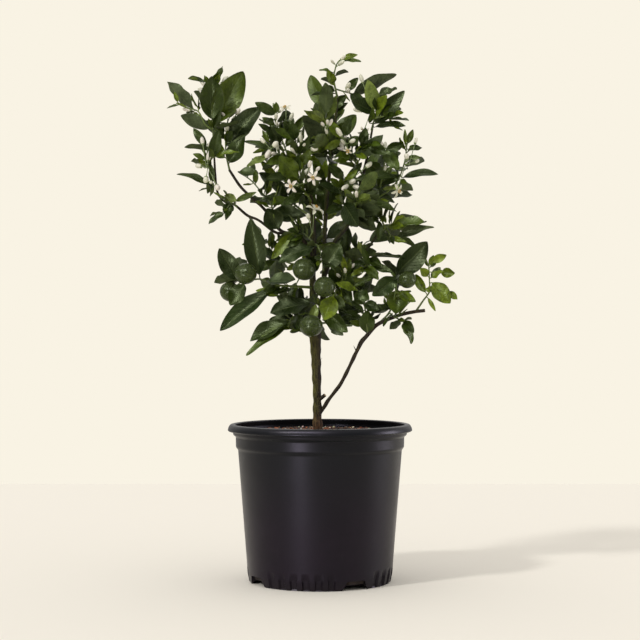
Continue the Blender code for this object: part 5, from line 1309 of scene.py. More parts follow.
def tint_wood_with_painted_shade(skin, middle, tone, foot):
    """Tints the skin with painted light and shade: the side towards -x, which faces the key light, keeps its
    tone, the side towards +x takes a painted shadow tone, and the foot is earthy.
    """
    lit, painted_shade, earth = (np.array(linear(c)) for c in (tone, PAINTED_SHADE_TONE, FOOT_TONE))
    for k, row in enumerate(skin.points):
        point = Vector(row)
        out = point - nearest_of(middle, point)
        # Painted shade: the more a point faces +x, away from the key light, the more it takes the shadow tone
        turn = out.x / max(out.length, 0.1) + 0.5 * noise.noise(point * 0.12)
        mixed = lit + (painted_shade - lit) * min(max(0.45 + 0.6 * turn, 0.0), 1.0)
        if foot:
            mixed = mixed + (earth - mixed) * min(max(1.1 - point.z / FOOT_REACH, 0.0), 1.0)
        skin.tones[k] = tuple(mixed)


def fine_limb(name):
    """A limb with its thorns, and the pale wood where it or its stub is cut."""
    skin = Skin()
    trunk = name == "trunk"
    path = smooth(limb_path(name), LIMB_STEPS)
    for row in path:
        lumps = LIMB_LUMPS * max(0.0, noise.noise(Vector((0, 1, row[2] * 0.07))))
        row[3] *= 1 + LIMB_WAVE * math.sin(row[2] * 0.31 + len(name)) + lumps
        if trunk:
            row[3] += FORK_SWELL * math.exp(-((row[2] - FORK_HEIGHT) / FORK_REACH) ** 2)
            row[3] -= COLLAR_TUCK * math.exp(-(row[2] / COLLAR_REACH) ** 2)
    middle = [Vector(row[:3]) for row in path]
    skin.add(round_rings(path, TRUNK_ROUND if trunk else LIMB_ROUND, LIMB_WOBBLE), BARE, BARK)
    ends = []
    if trunk:
        *line, size = STUB
        line = [Vector(point) for point in line]
        fine_stalk(skin, line, [size * 1.2, size, size * 0.9], BARE, BARK, 12)
        ends.append((line[2], (line[2] - line[1]).normalized(), size * 0.82))
    if name in CUT_ENDS:
        ends.append((middle[-1], (middle[-1] - middle[-2]).normalized(), CUT_ENDS[name] * 0.92))
    for foot, top in THORNS:
        foot, top = Vector(foot), Vector(top)
        if (nearest_of(middle, foot) - foot).length < THORN_REACH:
            fine_stalk(skin, [foot, foot.lerp(top, 0.5), top], [1.0, 0.6, 0.12], BARE, BARK, 6)
    # Paints light and shade on the limb: a shadow tone on its side away from the key light
    tint_wood_with_painted_shade(skin, middle, LIMB_TONES[name], trunk)
    for spot, way, size in ends:
        disc = [(-0.8, size), (0.05, size), (0.25, size * 0.8), (0.12, size * 0.3)]
        round_skin(skin, spot, way, disc, linear(CUT_TONE), CUT, 14)
    return skin


# ---- pot and soil -------------------------------------------------------------------------------

RIM_RADIUS = 127.0
FOOT_RADIUS = 98.0
POT_TOP = SOIL_LEVEL - MOUND_HEIGHT + SOIL_DROP
POT_SEGMENTS = 360
CREASE = 50
NOTCH_COUNT, NOTCH_TURN, NOTCH_WIDTH, NOTCH_HEIGHT, NOTCH_DEPTH = 4, 29.0, 34.0, 12.5, 16.0
NOTCH_INSET, NOTCH_CORNER, NOTCH_SLANT, NOTCH_BELOW, NOTCH_BEYOND = 2.0, 4.0, 4.5, 5.0, 12.0
CORNER_POINTS = 6
FLUTE_PITCH, FLUTE_WIDTH, FLUTE_REACH, FLUTE_DEPTH, FLUTE_HEIGHT = 10.0, 6.0, 25.0, 2.7, 17.5
FLUTE_ARCH, FLUTE_SIDES, FLUTE_TOP = 3.5, 3.0, 1.2
FLARE_HEIGHT = 26.0
FLARE_ROWS = 6
BAND_FOOT = POT_TOP - 35.0
# The outside from the rim's crest down to the foot, as (radius, height, how round the corner is)
POT_OUTSIDE = [
    (RIM_RADIUS - 8.4, POT_TOP, 0.9), (RIM_RADIUS - 3.4, POT_TOP - 0.5, 1.5),
    (RIM_RADIUS - 0.9, POT_TOP - 4.2, 1.8), (RIM_RADIUS, POT_TOP - 8.4, 0.9),
    (RIM_RADIUS - 1.2, POT_TOP - 9.7, 0.8), (RIM_RADIUS - 7.0, POT_TOP - 10.0, 1.2),
    (RIM_RADIUS - 7.5, POT_TOP - 14.6, 1.6), (RIM_RADIUS - 11.0, POT_TOP - 17.0, 1.6),
    (RIM_RADIUS - 11.3, POT_TOP - 31.6, 1.8), (RIM_RADIUS - 14.2, BAND_FOOT, 1.8),
    (FOOT_RADIUS + 2.6, FLARE_HEIGHT, 4.0), (FOOT_RADIUS + 1.8, 12.0, 3.0), (FOOT_RADIUS - 0.4, 1.4, 1.4),
    (FOOT_RADIUS - 1.6, 0.0, 0.7)]
POT_UNDER = [
    (FOOT_RADIUS - 2.9, 0.0, 0.5), (FOOT_RADIUS - 3.6, 3.7, 1.0), (34.0, 4.0, 3.0), (24.0, 0.3, 2.0),
    (6.0, 0.0, 0.1)]
POT_INSIDE = [
    (6.0, 6.2, 0.1), (FOOT_RADIUS - 3.6, 6.4, 2.0), (FOOT_RADIUS + 0.4, 21.0, 4.0),
    (RIM_RADIUS - 16.0, BAND_FOOT, 1.5), (RIM_RADIUS - 13.0, POT_TOP - 31.6, 1.5),
    (RIM_RADIUS - 12.7, POT_TOP - 17.6, 1.2), (RIM_RADIUS - 9.3, POT_TOP - 14.6, 1.2),
    (RIM_RADIUS - 8.9, POT_TOP - 7.5, 1.0), (RIM_RADIUS - 10.4, POT_TOP - 1.2, 0.7)]


def rounded(rows, steps=4):
    """The outline with each inner corner replaced by a short curve of its own size."""
    points = [Vector(row[:2]) for row in rows]
    out = [points[0]]
    for before, here, after, row in zip(points, points[1:], points[2:], rows[1:]):
        size = min(row[2], (before - here).length * 0.45, (after - here).length * 0.45)
        start, end = here + (before - here).normalized() * size, here + (after - here).normalized() * size
        for t in (i / steps for i in range(steps + 1)):
            out.append(start * (1 - t) ** 2 + here * 2 * t * (1 - t) + end * t ** 2)
    return out + [points[-1]]


def ring_points(radius, height, count):
    return [Vector((radius * math.sin(a), -radius * math.cos(a), height))
            for a in (2 * math.pi * i / count for i in range(count))]


def groove(angle, height):
    """How deep the rounded grooves between the drain notches are at a place on the foot."""
    pitch = 360.0 / NOTCH_COUNT
    off = (angle - NOTCH_TURN) % pitch - pitch / 2
    across = ((off + FLUTE_REACH + FLUTE_PITCH / 2) % FLUTE_PITCH - FLUTE_PITCH / 2) / (FLUTE_WIDTH / 2)
    below = FLUTE_HEIGHT - FLUTE_ARCH * across * across - height
    if abs(off) > FLUTE_REACH + FLUTE_WIDTH / 2 or abs(across) >= 1 or below < 0:
        return 0.0
    return FLUTE_DEPTH * min((1 - across * across) * FLUTE_SIDES, 1.0) * min(below / FLUTE_TOP, 1.0)


def pot_rows():
    """The pot's whole outline, and how many of its rows are on the outside and under the floor."""
    rows = rounded([*POT_OUTSIDE, POT_UNDER[0]])[:-1]
    flare = next(k for k, row in enumerate(rows) if row.y < FLARE_HEIGHT)
    above, below = rows[flare - 1], rows[flare]
    rows[flare:flare] = [above + (below - above) * t for t in np.linspace(0.1, 0.9, FLARE_ROWS)]
    rows += rounded(POT_UNDER)[1:]
    return rows + rounded([*POT_INSIDE, POT_OUTSIDE[0]])[:-1], len(rows)


def fine_pot(material):
    """The pot with rounded corners, hollow grooves in its foot and drain notches."""
    rows, outer = pot_rows()
    work = bmesh.new()
    rings = []
    for k, row in enumerate(rows):
        ring = ring_points(row.x, row.y, POT_SEGMENTS)
        if k < outer and row.x > FOOT_RADIUS - 1.8:
            for i, point in enumerate(ring):
                point.xy *= 1 - groove(360.0 * i / POT_SEGMENTS, row.y) / row.x
        rings.append([work.verts.new(point * MM) for point in ring])
    for a, b in zip(rings, rings[1:] + rings[:1]):
        if b is not rings[outer]:
            for i in range(POT_SEGMENTS):
                work.faces.new((a[i], a[i - 1], b[i - 1], b[i]))
    work.faces.new(rings[outer - 1])
    work.faces.new(rings[outer])
    mesh = bpy.data.meshes.new("pot_fine")
    work.to_mesh(mesh)
    work.free()
    outward(mesh)
    mesh.shade_smooth()
    mesh.set_sharp_from_angle(angle=math.radians(CREASE))
    mesh.materials.append(material)
    pot = stood("nursery_pot_fine", mesh)
    cut_notches(pot)
    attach(pot, "root")
    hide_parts("nursery_pot")


def cut_notches(pot):
    """Cuts the drain notches with rounded upper corners, and applies the cut."""
    half = NOTCH_WIDTH / 2 - NOTCH_INSET
    wide, inner = half + NOTCH_SLANT, half - NOTCH_CORNER
    angles = [math.pi / 2 * k / (CORNER_POINTS - 1) for k in range(CORNER_POINTS)]
    outline = [(-wide, -NOTCH_BELOW), (wide, -NOTCH_BELOW), (wide, 0.0)]
    for side, turns in ((1, angles), (-1, angles[::-1])):
        outline += [(side * (inner + NOTCH_CORNER * math.cos(a)),
                     NOTCH_HEIGHT - NOTCH_CORNER + NOTCH_CORNER * math.sin(a)) for a in turns]
    outline.append((-wide, 0.0))
    cutter = Shape()
    for k in range(NOTCH_COUNT):
        turn = Matrix.Rotation(math.radians(NOTCH_TURN + 360.0 / NOTCH_COUNT * k), 3, "Z")
        cutter.add(loft([[turn @ Vector((x, -reach, z)) for x, z in outline]
                         for reach in (FOOT_RADIUS - NOTCH_DEPTH, FOOT_RADIUS + NOTCH_BEYOND)]))
    mesh = bpy.data.meshes.new("notches")
    mesh.from_pydata([point * MM for point in cutter.points], [], cutter.faces)
    outward(mesh)
    helper = stood("notches", mesh)
    cut = pot.modifiers.new("notches", "BOOLEAN")
    cut.operation, cut.solver, cut.object = "DIFFERENCE", "EXACT", helper
    view = bpy.context.evaluated_depsgraph_get()
    made = bpy.data.meshes.new_from_object(pot.evaluated_get(view))
    pot.modifiers.clear()
    pot.data = made
    bpy.data.objects.remove(helper)
    pot.data.set_sharp_from_angle(angle=math.radians(CREASE))


SOIL_EDGE = POT_TOP - SOIL_DROP
SOIL_RADIUS = RIM_RADIUS - 14.3
SOIL_ROUND = 72
SOIL_LEVELS = 16
SOIL_TONE = (46, 34, 26)
# The soil below its surface, just inside the wall, as (radius, height)
SOIL_WALL = ((FOOT_RADIUS - 4.2, 7.0), (FOOT_RADIUS - 0.2, 21.0), (RIM_RADIUS - 16.4, BAND_FOOT),
             (RIM_RADIUS - 13.4, POT_TOP - 31))
CHIP_TONES = (
    (150, 84, 40), (112, 64, 34), (84, 54, 34), (52, 38, 28), (34, 27, 23), (168, 104, 58), (62, 44, 31))
PERLITE_TONE = (226, 222, 206)
CHIP_COUNT = 1500
PERLITE_COUNT = 70
CHIP_LENGTHS, CHIP_WIDTHS, CHIP_HEIGHTS = (1.6, 6.0), (0.9, 2.6), (0.4, 1.1)
PERLITE_SIZES = (1.0, 1.9)
CHIP_RINGS = ((-1.0, 0.7), (-0.35, 1.0), (0.4, 1.0), (1.0, 0.75))
CHIP_SIDES = 6
CHIP_TILTS = (-0.5, 0.5)
CHIP_EDGE = 3.5


def soil_height(x, y):
    share = math.hypot(x, y) / SOIL_RADIUS
    return (SOIL_EDGE + MOUND_HEIGHT * (1 - share ** 2) - 1.2
            + 1.2 * noise.noise(Vector((x, y, 3)) * 0.05) + 0.9 * noise.noise(Vector((x, y, 9)) * 0.2))


def chip(spot_x, spot_y, white, draw):
    """The rings of one piece of bark or grain of perlite, which lies on the soil at its own tilt."""
    spin = (Matrix.Rotation(draw.uniform(0, 6.3), 3, "Z") @ Matrix.Rotation(draw.uniform(*CHIP_TILTS), 3, "X")
            @ Matrix.Rotation(draw.uniform(*CHIP_TILTS), 3, "Y"))
    ranges = [PERLITE_SIZES] * 3 if white else [CHIP_LENGTHS, CHIP_WIDTHS, CHIP_HEIGHTS]
    long, wide, high = (draw.uniform(*sizes) for sizes in ranges)
    spot = Vector((spot_x, spot_y, soil_height(spot_x, spot_y) + high * draw.uniform(0.2, 0.9)))
    rings = []
    for level, reach in CHIP_RINGS:
        ring = []
        for i in range(CHIP_SIDES):
            angle = 2 * math.pi * i / CHIP_SIDES
            rough = draw.uniform(0.75, 1.15) * reach
            corner = Vector((math.cos(angle) * long * rough, math.sin(angle) * wide * rough, level * high))
            ring.append(spot + spin @ corner)
        rings.append(ring)
    return rings


def fine_soil(materials):
    """The mounded soil, strewn with bark chips and perlite."""
    draw = random.Random(SEED + 2)
    skin = Skin()
    rings = [ring_points(radius, height, SOIL_ROUND) for radius, height in SOIL_WALL]
    for k in range(SOIL_LEVELS):
        ring = ring_points(SOIL_RADIUS * (1 - k / (SOIL_LEVELS + 0.3)), 0, SOIL_ROUND)
        for point in ring:
            point.z = soil_height(point.x, point.y)
        rings.append(ring)
    skin.add(rings, linear(SOIL_TONE), 0)
    for k in range(CHIP_COUNT + PERLITE_COUNT):
        reach = (SOIL_RADIUS - CHIP_EDGE) * math.sqrt(draw.random())
        turn = draw.uniform(0, 2 * math.pi)
        white = k >= CHIP_COUNT
        rings = chip(reach * math.sin(turn), -reach * math.cos(turn), white, draw)
        tone = linear(PERLITE_TONE if white else draw.choice(CHIP_TONES))
        skin.add(rings, tuple(c * draw.uniform(0.75, 1.2) for c in tone), 1)
    skin.made("potting_soil_fine", materials, "soil", ["potting_soil"], 35)


# ---- materials ----------------------------------------------------------------------------------

# Colours as the shader takes them. A leaf's veins and midrib are brighter than its blade
VEIN_COLOUR = (0.22, 0.28, 0.07, 1)
LEAF_SHADE = (0.006, 0.012, 0.002, 1)
UNDER_COLOUR = (0.110, 0.130, 0.066, 1)
LEAF_SHINE = (0.82, 1.0, 0.50, 1)
# The cracks' dark colour: partly the bark's own and partly painted shade in the hollows
CRACK_COLOUR_AND_SHADE = (0.018, 0.012, 0.008, 1)
SCAR_COLOUR = (0.26, 0.22, 0.10, 1)
PEEL_FLECK = (0.16, 0.21, 0.05, 1)
PEEL_SHADE = (0.006, 0.014, 0.004, 1)
PEEL_SHINE = (0.86, 1.0, 0.66, 1)
POT_COOL = (0.0052, 0.0070, 0.0080, 1)
# The pot's lower colour, lighter and violet: partly the plastic's tint and partly a painted reflection of the
# floor
POT_WARM_AND_REFLECTED = (0.0115, 0.0072, 0.0135, 1)
POT_SHADE = (0.0035, 0.0035, 0.0042, 1)
POT_SCUFF = (0.022, 0.020, 0.022, 1)
POT_DUST = (0.030, 0.026, 0.024, 1)
POT_SHINE = (0.92, 0.86, 1.0, 1)


class Tree:
    """A tree of shader nodes and a few short ways to add to it."""

    def __init__(self, tree):
        self.nodes, self.links = tree.nodes, tree.links

    def feed(self, socket, value):
        if isinstance(value, bpy.types.NodeSocket):
            self.links.new(value, socket)
        else:
            socket.default_value = value

    def add(self, kind, **inputs):
        """A new node, with values or links for its inputs by their names."""
        node = self.nodes.new("ShaderNode" + kind)
        for name, value in inputs.items():
            self.feed(node.inputs[name.replace("_", " ")], value)
        return node

    def math(self, operation, a, b=0.0):
        node = self.add("Math")
        node.operation = operation
        self.feed(node.inputs[0], a)
        self.feed(node.inputs[1], b)
        return node.outputs[0]


class Graph(Tree):
    """The node tree of a new material."""

    def __init__(self, name, **settings):
        self.material = bpy.data.materials.new(name)
        self.material.use_nodes = True
        super().__init__(self.material.node_tree)
        self.shader = self.nodes["Principled BSDF"]
        for socket, value in settings.items():
            self.shader.inputs[socket.replace("_", " ")].default_value = value
        self.place = self.add("TexCoord").outputs["Object"]

    def mix(self, factor, a, b, mode="MIX"):
        node = self.add("Mix")
        node.data_type, node.blend_type = "RGBA", mode
        for socket, value in ((0, factor), (6, a), (7, b)):
            self.feed(node.inputs[socket], value)
        return node.outputs[2]

    def fade(self, value, low, high, start=0.0, end=1.0):
        """From start to end as the value goes from low to high, smoothly."""
        node = self.add("MapRange", Value=value, From_Min=low, From_Max=high, To_Min=start, To_Max=end)
        node.interpolation_type = "SMOOTHSTEP"
        return node.outputs[0]

    def stretched(self, x, y, z):
        return self.add("Mapping", Vector=self.place, Scale=(x, y, z)).outputs[0]

    def cloud(self, scale, detail=3.0, roughness=0.55, place=None):
        node = self.add("TexNoise", Vector=place or self.place, Scale=scale, Detail=detail,
                        Roughness=roughness)
        return node.outputs["Fac"]

    def cells(self, scale, place=None):
        return self.add("TexVoronoi", Vector=place or self.place, Scale=scale).outputs["Distance"]

    def tone(self):
        node = self.add("Attribute")
        node.attribute_name = "tone"
        return node.outputs["Color"]

    def bump(self, height, distance, strength=1.0, under=None):
        node = self.add("Bump", Strength=strength, Distance=distance, Height=height)
        if under:
            self.links.new(under, node.inputs["Normal"])
        return node.outputs[0]

    def finish(self, colour, roughness, normal):
        self.feed(self.shader.inputs["Base Color"], colour)
        self.feed(self.shader.inputs["Roughness"], roughness)
        self.links.new(normal, self.shader.inputs["Normal"])
        return self.material


def leaf_material(name, under):
    """Veins run from the midrib forwards. The upper side is waxy, and the under side pale and matt."""
    g = Graph(name, Specular_Tint=LEAF_SHINE, Specular_IOR_Level=0.18 if under else 0.38)
    marks = g.nodes.new("ShaderNodeUVMap")
    marks.uv_map = "leaf"
    along, across, _ = g.add("SeparateXYZ", Vector=marks.outputs[0]).outputs
    away = g.math("ABSOLUTE", g.math("SUBTRACT", g.math("MULTIPLY", across, 2.0), 1.0))
    midrib = g.fade(away, 0.02, 0.08, 1.0, 0.0)
    wander = g.math("MULTIPLY", g.cloud(120.0, 2.0), 0.9)
    row = g.math("SUBTRACT", g.math("MULTIPLY", along, 10.0), g.math("MULTIPLY", away, 2.6))
    middle = g.math("SUBTRACT", g.math("FRACT", g.math("ADD", row, wander)), 0.5)
    line = g.math("MULTIPLY", g.math("ABSOLUTE", middle), 2.0)
    vein = g.math("MULTIPLY", g.fade(line, 0.78, 1.0), g.fade(away, 0.55, 0.98, 1.0, 0.0))
    mottle = g.cloud(260.0, 5.0, 0.65)
    patch = g.cloud(60.0, 2.0)
    tone = g.tone()
    if under:
        tone = g.mix(0.45, tone, UNDER_COLOUR)
    bright = g.mix(0.30, tone, VEIN_COLOUR)
    colour = g.mix(g.math("MULTIPLY", vein, 0.30 if under else 0.22), tone, bright)
    colour = g.mix(g.math("MULTIPLY", midrib, 0.60), colour, bright)
    colour = g.mix(g.fade(away, 0.92, 1.0, 0.0, 0.35), colour, bright)
    shade = g.math("ADD", g.math("MULTIPLY", mottle, 0.5), g.math("MULTIPLY", patch, 0.55))
    colour = g.mix(g.fade(shade, 0.38, 0.66), g.mix(0.62, colour, LEAF_SHADE), colour)
    lift = 0.8 if under else -0.9
    relief = g.math("MULTIPLY", g.math("ADD", vein, g.math("MULTIPLY", midrib, 1.3)), lift)
    relief = g.math("ADD", relief, g.math("MULTIPLY", g.cloud(700.0, 3.0), 0.6))
    rough = g.fade(mottle, 0.3, 0.7, 0.52, 0.66) if under else g.fade(mottle, 0.3, 0.7, 0.26, 0.44)
    return g.finish(colour, rough, g.bump(relief, 0.0004, 0.7))


def tinted_material(name, scale, low, high, depth, rough, grain=None, **settings):
    """A material in its own tones, darker in its hollows with painted shade, with a grain that may run
    lengthwise.
    """
    g = Graph(name, **settings)
    place = g.stretched(*grain) if grain else g.place
    patch = g.cloud(scale, 5.0, 0.6, place)
    fine = g.cloud(scale * 3.1, 3.0, 0.6, place)
    tone = g.tone()
    dark, light = (g.mix(1.0, tone, (level, level, level, 1), "MULTIPLY") for level in (low, high))
    # Painted shade: the same noise that sinks the surface darkens its colour
    colour = g.mix(g.fade(patch, 0.32, 0.68), dark, light)
    height = g.math("ADD", patch, g.math("MULTIPLY", fine, 0.5))
    return g.finish(colour, g.fade(fine, 0.3, 0.7, rough - 0.06, rough + 0.08), g.bump(height, depth, 0.8))


def bark_material():
    """Bark with long cracks, darker partly in their own colour and partly with painted shade, breathing pores
    and a few pale scars.
    """
    g = Graph("bark", Specular_IOR_Level=0.12)
    crack = g.cloud(620.0, 4.0, 0.6, g.stretched(1.0, 1.0, 0.12))
    patch = g.cloud(130.0, 4.0, 0.6)
    pores = g.fade(g.cells(420.0, g.stretched(0.6, 0.6, 1.6)), 0.05, 0.28, 1.0, 0.0)
    tone = g.tone()
    light = g.mix(0.45, tone, SCAR_COLOUR)
    # The cracks, sunk by the bump below, are darkened: partly their own colour and partly painted shade
    colour = g.mix(g.fade(crack, 0.36, 0.56), g.mix(0.80, tone, CRACK_COLOUR_AND_SHADE), tone)
    colour = g.mix(g.fade(patch, 0.52, 0.74, 0.0, 0.55), colour, light)
    colour = g.mix(g.math("MULTIPLY", pores, 0.35), colour, light)
    height = g.math("ADD", g.math("MULTIPLY", g.fade(crack, 0.30, 0.60), 1.2), g.math("MULTIPLY", pores, 0.5))
    return g.finish(colour, g.fade(patch, 0.3, 0.7, 0.62, 0.82), g.bump(height, 0.0007, 0.8))


def fruit_material():
    """Green peel: oil glands as fine pits, with paler flecks between them."""
    g = Graph("peel", Specular_IOR_Level=0.28, Specular_Tint=PEEL_SHINE)
    gland = g.cells(760.0)
    patch = g.cloud(110.0, 4.0, 0.6)
    tone = g.tone()
    colour = g.mix(g.fade(patch, 0.38, 0.66), g.mix(0.70, tone, PEEL_SHADE), tone)
    colour = g.mix(g.fade(gland, 0.25, 0.50, 0.0, 0.55), colour, g.mix(0.50, tone, PEEL_FLECK))
    waves = g.bump(g.cloud(160.0, 3.0), 0.0012, 0.5)
    pits = g.bump(g.fade(gland, 0.05, 0.45), 0.0006, 1.0, waves)
    return g.finish(colour, g.fade(patch, 0.3, 0.7, 0.20, 0.32), pits)


def pot_material():
    """Black moulded plastic: a fine grain, faint rings from the mould, scuffs and a trace of dust, lighter
    and violet low down, partly as a painted reflection of the floor.
    """
    g = Graph("pot_plastic", Specular_IOR_Level=0.20, Specular_Tint=POT_SHINE)
    _, _, high = g.add("SeparateXYZ", Vector=g.place).outputs
    mould = g.math("SINE", g.math("MULTIPLY", high, 2600.0))
    grain = g.cloud(1900.0, 3.0, 0.6)
    patch = g.cloud(16.0, 4.0, 0.6)
    scuff = g.fade(g.cloud(60.0, 6.0, 0.7, g.stretched(1.0, 1.0, 0.25)), 0.60, 0.78)
    # Lighter and violet low down, darker and cooler above: partly the plastic's tint and partly a painted
    # reflection of the bright floor
    colour = g.mix(g.fade(high, 0.05, 0.19), POT_WARM_AND_REFLECTED, POT_COOL)
    colour = g.mix(g.fade(patch, 0.3, 0.75, 0.0, 0.5), colour, POT_SHADE)
    colour = g.mix(g.math("MULTIPLY", scuff, 0.25), colour, POT_SCUFF)
    colour = g.mix(g.fade(high, 0.0, 0.018, 0.25, 0.0), colour, POT_DUST)
    rough = g.math("ADD", g.fade(patch, 0.3, 0.7, 0.30, 0.38), g.math("MULTIPLY", scuff, 0.12))
    height = g.math("ADD", g.math("MULTIPLY", grain, 0.6), g.math("MULTIPLY", mould, 0.05))
    return g.finish(colour, rough, g.bump(height, 0.00012, 0.5))


# ---- the stage ----------------------------------------------------------------------------------

CAMERA_SPOT = (0.0, -2.32, 0.359)
CAMERA_LENS = 94.7
SENSOR_WIDTH = 36.0
FLOOR_COLOUR = (240, 236, 226)
FLOOR_ROUGHNESS = 0.9
BACK_COLOUR = (249, 243, 228)
FLOOR_BACK = 1.365
FLOOR_SIDE = 9.0
KEY_TURN = 49.0
KEY_HEIGHT = 38.0
KEY_STRENGTH = 1.0
KEY_SOFTNESS = 6.0
KEY_COLOUR = (1.0, 0.985, 0.95)
SKY_BASE, SKY_BACK, SKY_TOP = 0.09, 0.44, 1.07
SKY_COLOUR = (0.96, 0.93, 0.90, 1)
# Soft boxes that show only in glossy things: turn from the front, rise, distance, width, height, power
STRIPS = {"left_strip": (-27.0, 6.0, 1.5, 0.22, 0.36, 13.0), "right_strip": (95.0, 14.0, 1.8, 0.8, 0.9, 18.0),
          "top_strip": (-22.0, 50.0, 1.7, 0.9, 0.30, 17.0)}
STRIP_COLOUR = (0.94, 0.90, 1.0)
STRIP_GOAL = (0.0, 0.0, 0.15)


def make_floor():
    """A pale floor that ends at the horizon behind the pot."""
    mesh = bpy.data.meshes.new("floor")
    corners = [(-FLOOR_SIDE, -FLOOR_SIDE, 0), (FLOOR_SIDE, -FLOOR_SIDE, 0), (FLOOR_SIDE, FLOOR_BACK, 0),
               (-FLOOR_SIDE, FLOOR_BACK, 0)]
    mesh.from_pydata(corners, [], [(0, 1, 2, 3)])
    floor = stood("floor", mesh)
    g = Graph("floor_paint", Specular_IOR_Level=0.0)
    ripple = g.bump(g.cloud(30.0), 0.0002, 0.1)
    mesh.materials.append(g.finish((*linear(FLOOR_COLOUR), 1), FLOOR_ROUGHNESS, ripple))


def make_sky():
    """The camera sees a pale backdrop, and things are lit by a sky that is brightest behind and above."""
    world = bpy.data.worlds.new("studio")
    bpy.context.scene.world = world
    world.use_nodes = True
    sky = Tree(world.node_tree)
    sky.nodes.clear()
    split = sky.add("SeparateXYZ", Vector=sky.add("TexCoord").outputs["Generated"])
    back, top = (sky.add("MapRange", Value=split.outputs[axis], To_Max=bright).outputs[0]
                 for axis, bright in ((1, SKY_BACK), (2, SKY_TOP)))
    strength = sky.math("ADD", sky.math("ADD", back, top), SKY_BASE)
    lit = sky.add("Background", Color=SKY_COLOUR, Strength=strength)
    seen = sky.add("Background", Color=(*linear(BACK_COLOUR), 1))
    both = sky.add("MixShader")
    shown = sky.add("LightPath").outputs["Is Camera Ray"]
    for socket, value in zip(both.inputs, (shown, lit.outputs[0], seen.outputs[0])):
        sky.links.new(value, socket)
    sky.add("OutputWorld", Surface=both.outputs[0])


def direction(turn, rise):
    """Turns are measured from the front, positive towards +X, and the rise from the floor, in degrees."""
    turn, rise = math.radians(turn), math.radians(rise)
    return Vector((math.sin(turn) * math.cos(rise), -math.cos(turn) * math.cos(rise), math.sin(rise)))


def add_light(light, spot, goal):
    """A light at the spot, turned to the goal."""
    made = stood(light.name, light)
    made.location = spot
    made.rotation_euler = (goal - spot).to_track_quat("-Z", "Y").to_euler()
    return made


def make_lights():
    """A soft key light from the front, and the soft boxes that glossy things mirror."""
    key = bpy.data.lights.new("key", "SUN")
    key.energy, key.angle, key.color = KEY_STRENGTH, math.radians(KEY_SOFTNESS), KEY_COLOUR
    add_light(key, direction(-KEY_TURN, KEY_HEIGHT), Vector())
    for name, (turn, rise, away, width, height, power) in STRIPS.items():
        strip = bpy.data.lights.new(name, "AREA")
        strip.shape, strip.size, strip.size_y, strip.energy = "RECTANGLE", width, height, power
        strip.color = STRIP_COLOUR
        box = add_light(strip, direction(turn, rise) * away, Vector(STRIP_GOAL))
        box.visible_diffuse = False


def make_camera():
    """A camera at the height of the plant, which looks straight ahead."""
    camera = bpy.data.cameras.new("camera")
    camera.lens = CAMERA_LENS
    camera.sensor_width = SENSOR_WIDTH
    eye = stood("camera", camera)
    eye.location = CAMERA_SPOT
    eye.rotation_euler = (math.radians(90), 0, 0)
    bpy.context.scene.camera = eye


# ---- everything ---------------------------------------------------------------------------------

def few_of(table, name, otherwise):
    """The table's number for the first of its words that is in the name."""
    return next((count for word, count in table.items() if word in name), otherwise)


def make_shoot(name, shoot, materials, placed, draw):
    """A shoot with its leaves, and the small leaves and buds that fill it out."""
    tones = LEAF_TONES.get(name) or "".join(draw.choice(FILL_TONES) for _ in shoot.leaves)
    known = len(shoot.leaves)
    buds = small_buds(shoot, few_of(SMALL_BUDS, name, OTHER_SMALL_BUDS), placed, draw)
    small_leaves(shoot, few_of(SMALL_LEAVES, name, OTHER_SMALL_LEAVES), placed, draw)
    skin = Skin()
    lines = [fine_twig(skin, route, varied("twig", draw)) for route in shoot.routes]
    middle = [spot for line in lines for spot in line]
    for k, leaf in enumerate(shoot.leaves):
        letter = tones[k] if k < known else draw.choice(SMALL_TONES)
        fine_leaf(skin, leaf, nearest_of(middle, leaf.root), varied(letter, draw), draw)
    for root, head, length, width in buds:
        fine_bud(skin, nearest_of(middle, root), head, length, width, draw, LEAFY_PETAL, LEAFY_CALYX)
    skin.made(name + "_fine", materials, "leaf", [name], 55, SOIL_LEVEL)


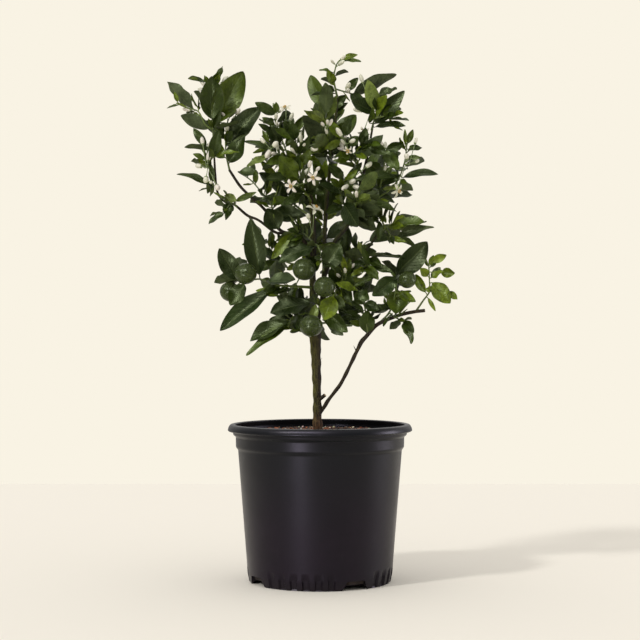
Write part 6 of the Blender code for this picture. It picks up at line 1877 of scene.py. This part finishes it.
def make_cluster(name, spot, fork, stems, materials, draw):
    """The buds and open flowers of a cluster on their common stalk."""
    skin = Skin()
    fine_stalk(skin, [spot, spot.lerp(fork, 0.5), fork], [0.85, 0.8, 0.8], linear(CALYX_TONE))
    for start, head, length, width in stems:
        if width:
            fine_bud(skin, start, head, length, width, draw)
        else:
            fine_flower(skin, start, head, length, draw)
    skin.made(name + "_fine", materials, "petal", [name], 60, SOIL_LEVEL)


def main():
    bpy.context.scene.view_settings.view_transform = "Standard"
    bpy.context.scene.view_settings.look = "None"
    placed = Placed()
    limbs, paths = grow_limbs(placed)
    shoots = grow_shoots(limbs, paths, placed)
    fruits = grow_fruits(shoots, placed)
    clusters = grow_clusters(shoots, placed)
    grow_leaves(shoots, placed)
    draw = random.Random(SEED + 1)
    upper, under = leaf_material("leaf_upper", False), leaf_material("leaf_under", True)
    twig = tinted_material("green_twig", 500.0, 0.62, 1.15, 0.0003, 0.48, (1, 1, 0.25),
                           Specular_IOR_Level=0.4)
    bark = bark_material()
    cut = tinted_material("cut_wood", 900.0, 0.7, 1.05, 0.0002, 0.75)
    petal = tinted_material("petal", 420.0, 0.90, 1.02, 0.0002, 0.45)
    calyx = tinted_material("calyx", 600.0, 0.72, 1.1, 0.0002, 0.5)
    stamen = tinted_material("stamen", 1500.0, 0.7, 1.1, 0.0002, 0.7)
    peat = tinted_material("peat", 260.0, 0.35, 1.2, 0.0016, 0.92)
    chips = tinted_material("bark_chips", 500.0, 0.45, 1.25, 0.0007, 0.85, (1, 1, 0.6))
    for name in LIMBS:
        fine_limb(name).made(name + "_fine", [bark, cut], "bark", [name], 40, SOIL_LEVEL)
    for name, shoot in shoots.items():
        make_shoot(name, shoot, [upper, under, twig, petal, calyx], placed, draw)
    peel = fruit_material()
    for name, place in fruits.items():
        skin = Skin()
        fine_fruit(skin, *place)
        skin.made(name + "_fine", [peel, calyx], "fruit", [name], 60, SOIL_LEVEL)
    for name, place in clusters.items():
        make_cluster(name, *place, [petal, calyx, stamen], draw)
    fine_pot(pot_material())
    fine_soil([peat, chips])
    make_floor()
    make_sky()
    make_lights()
    make_camera()


main()
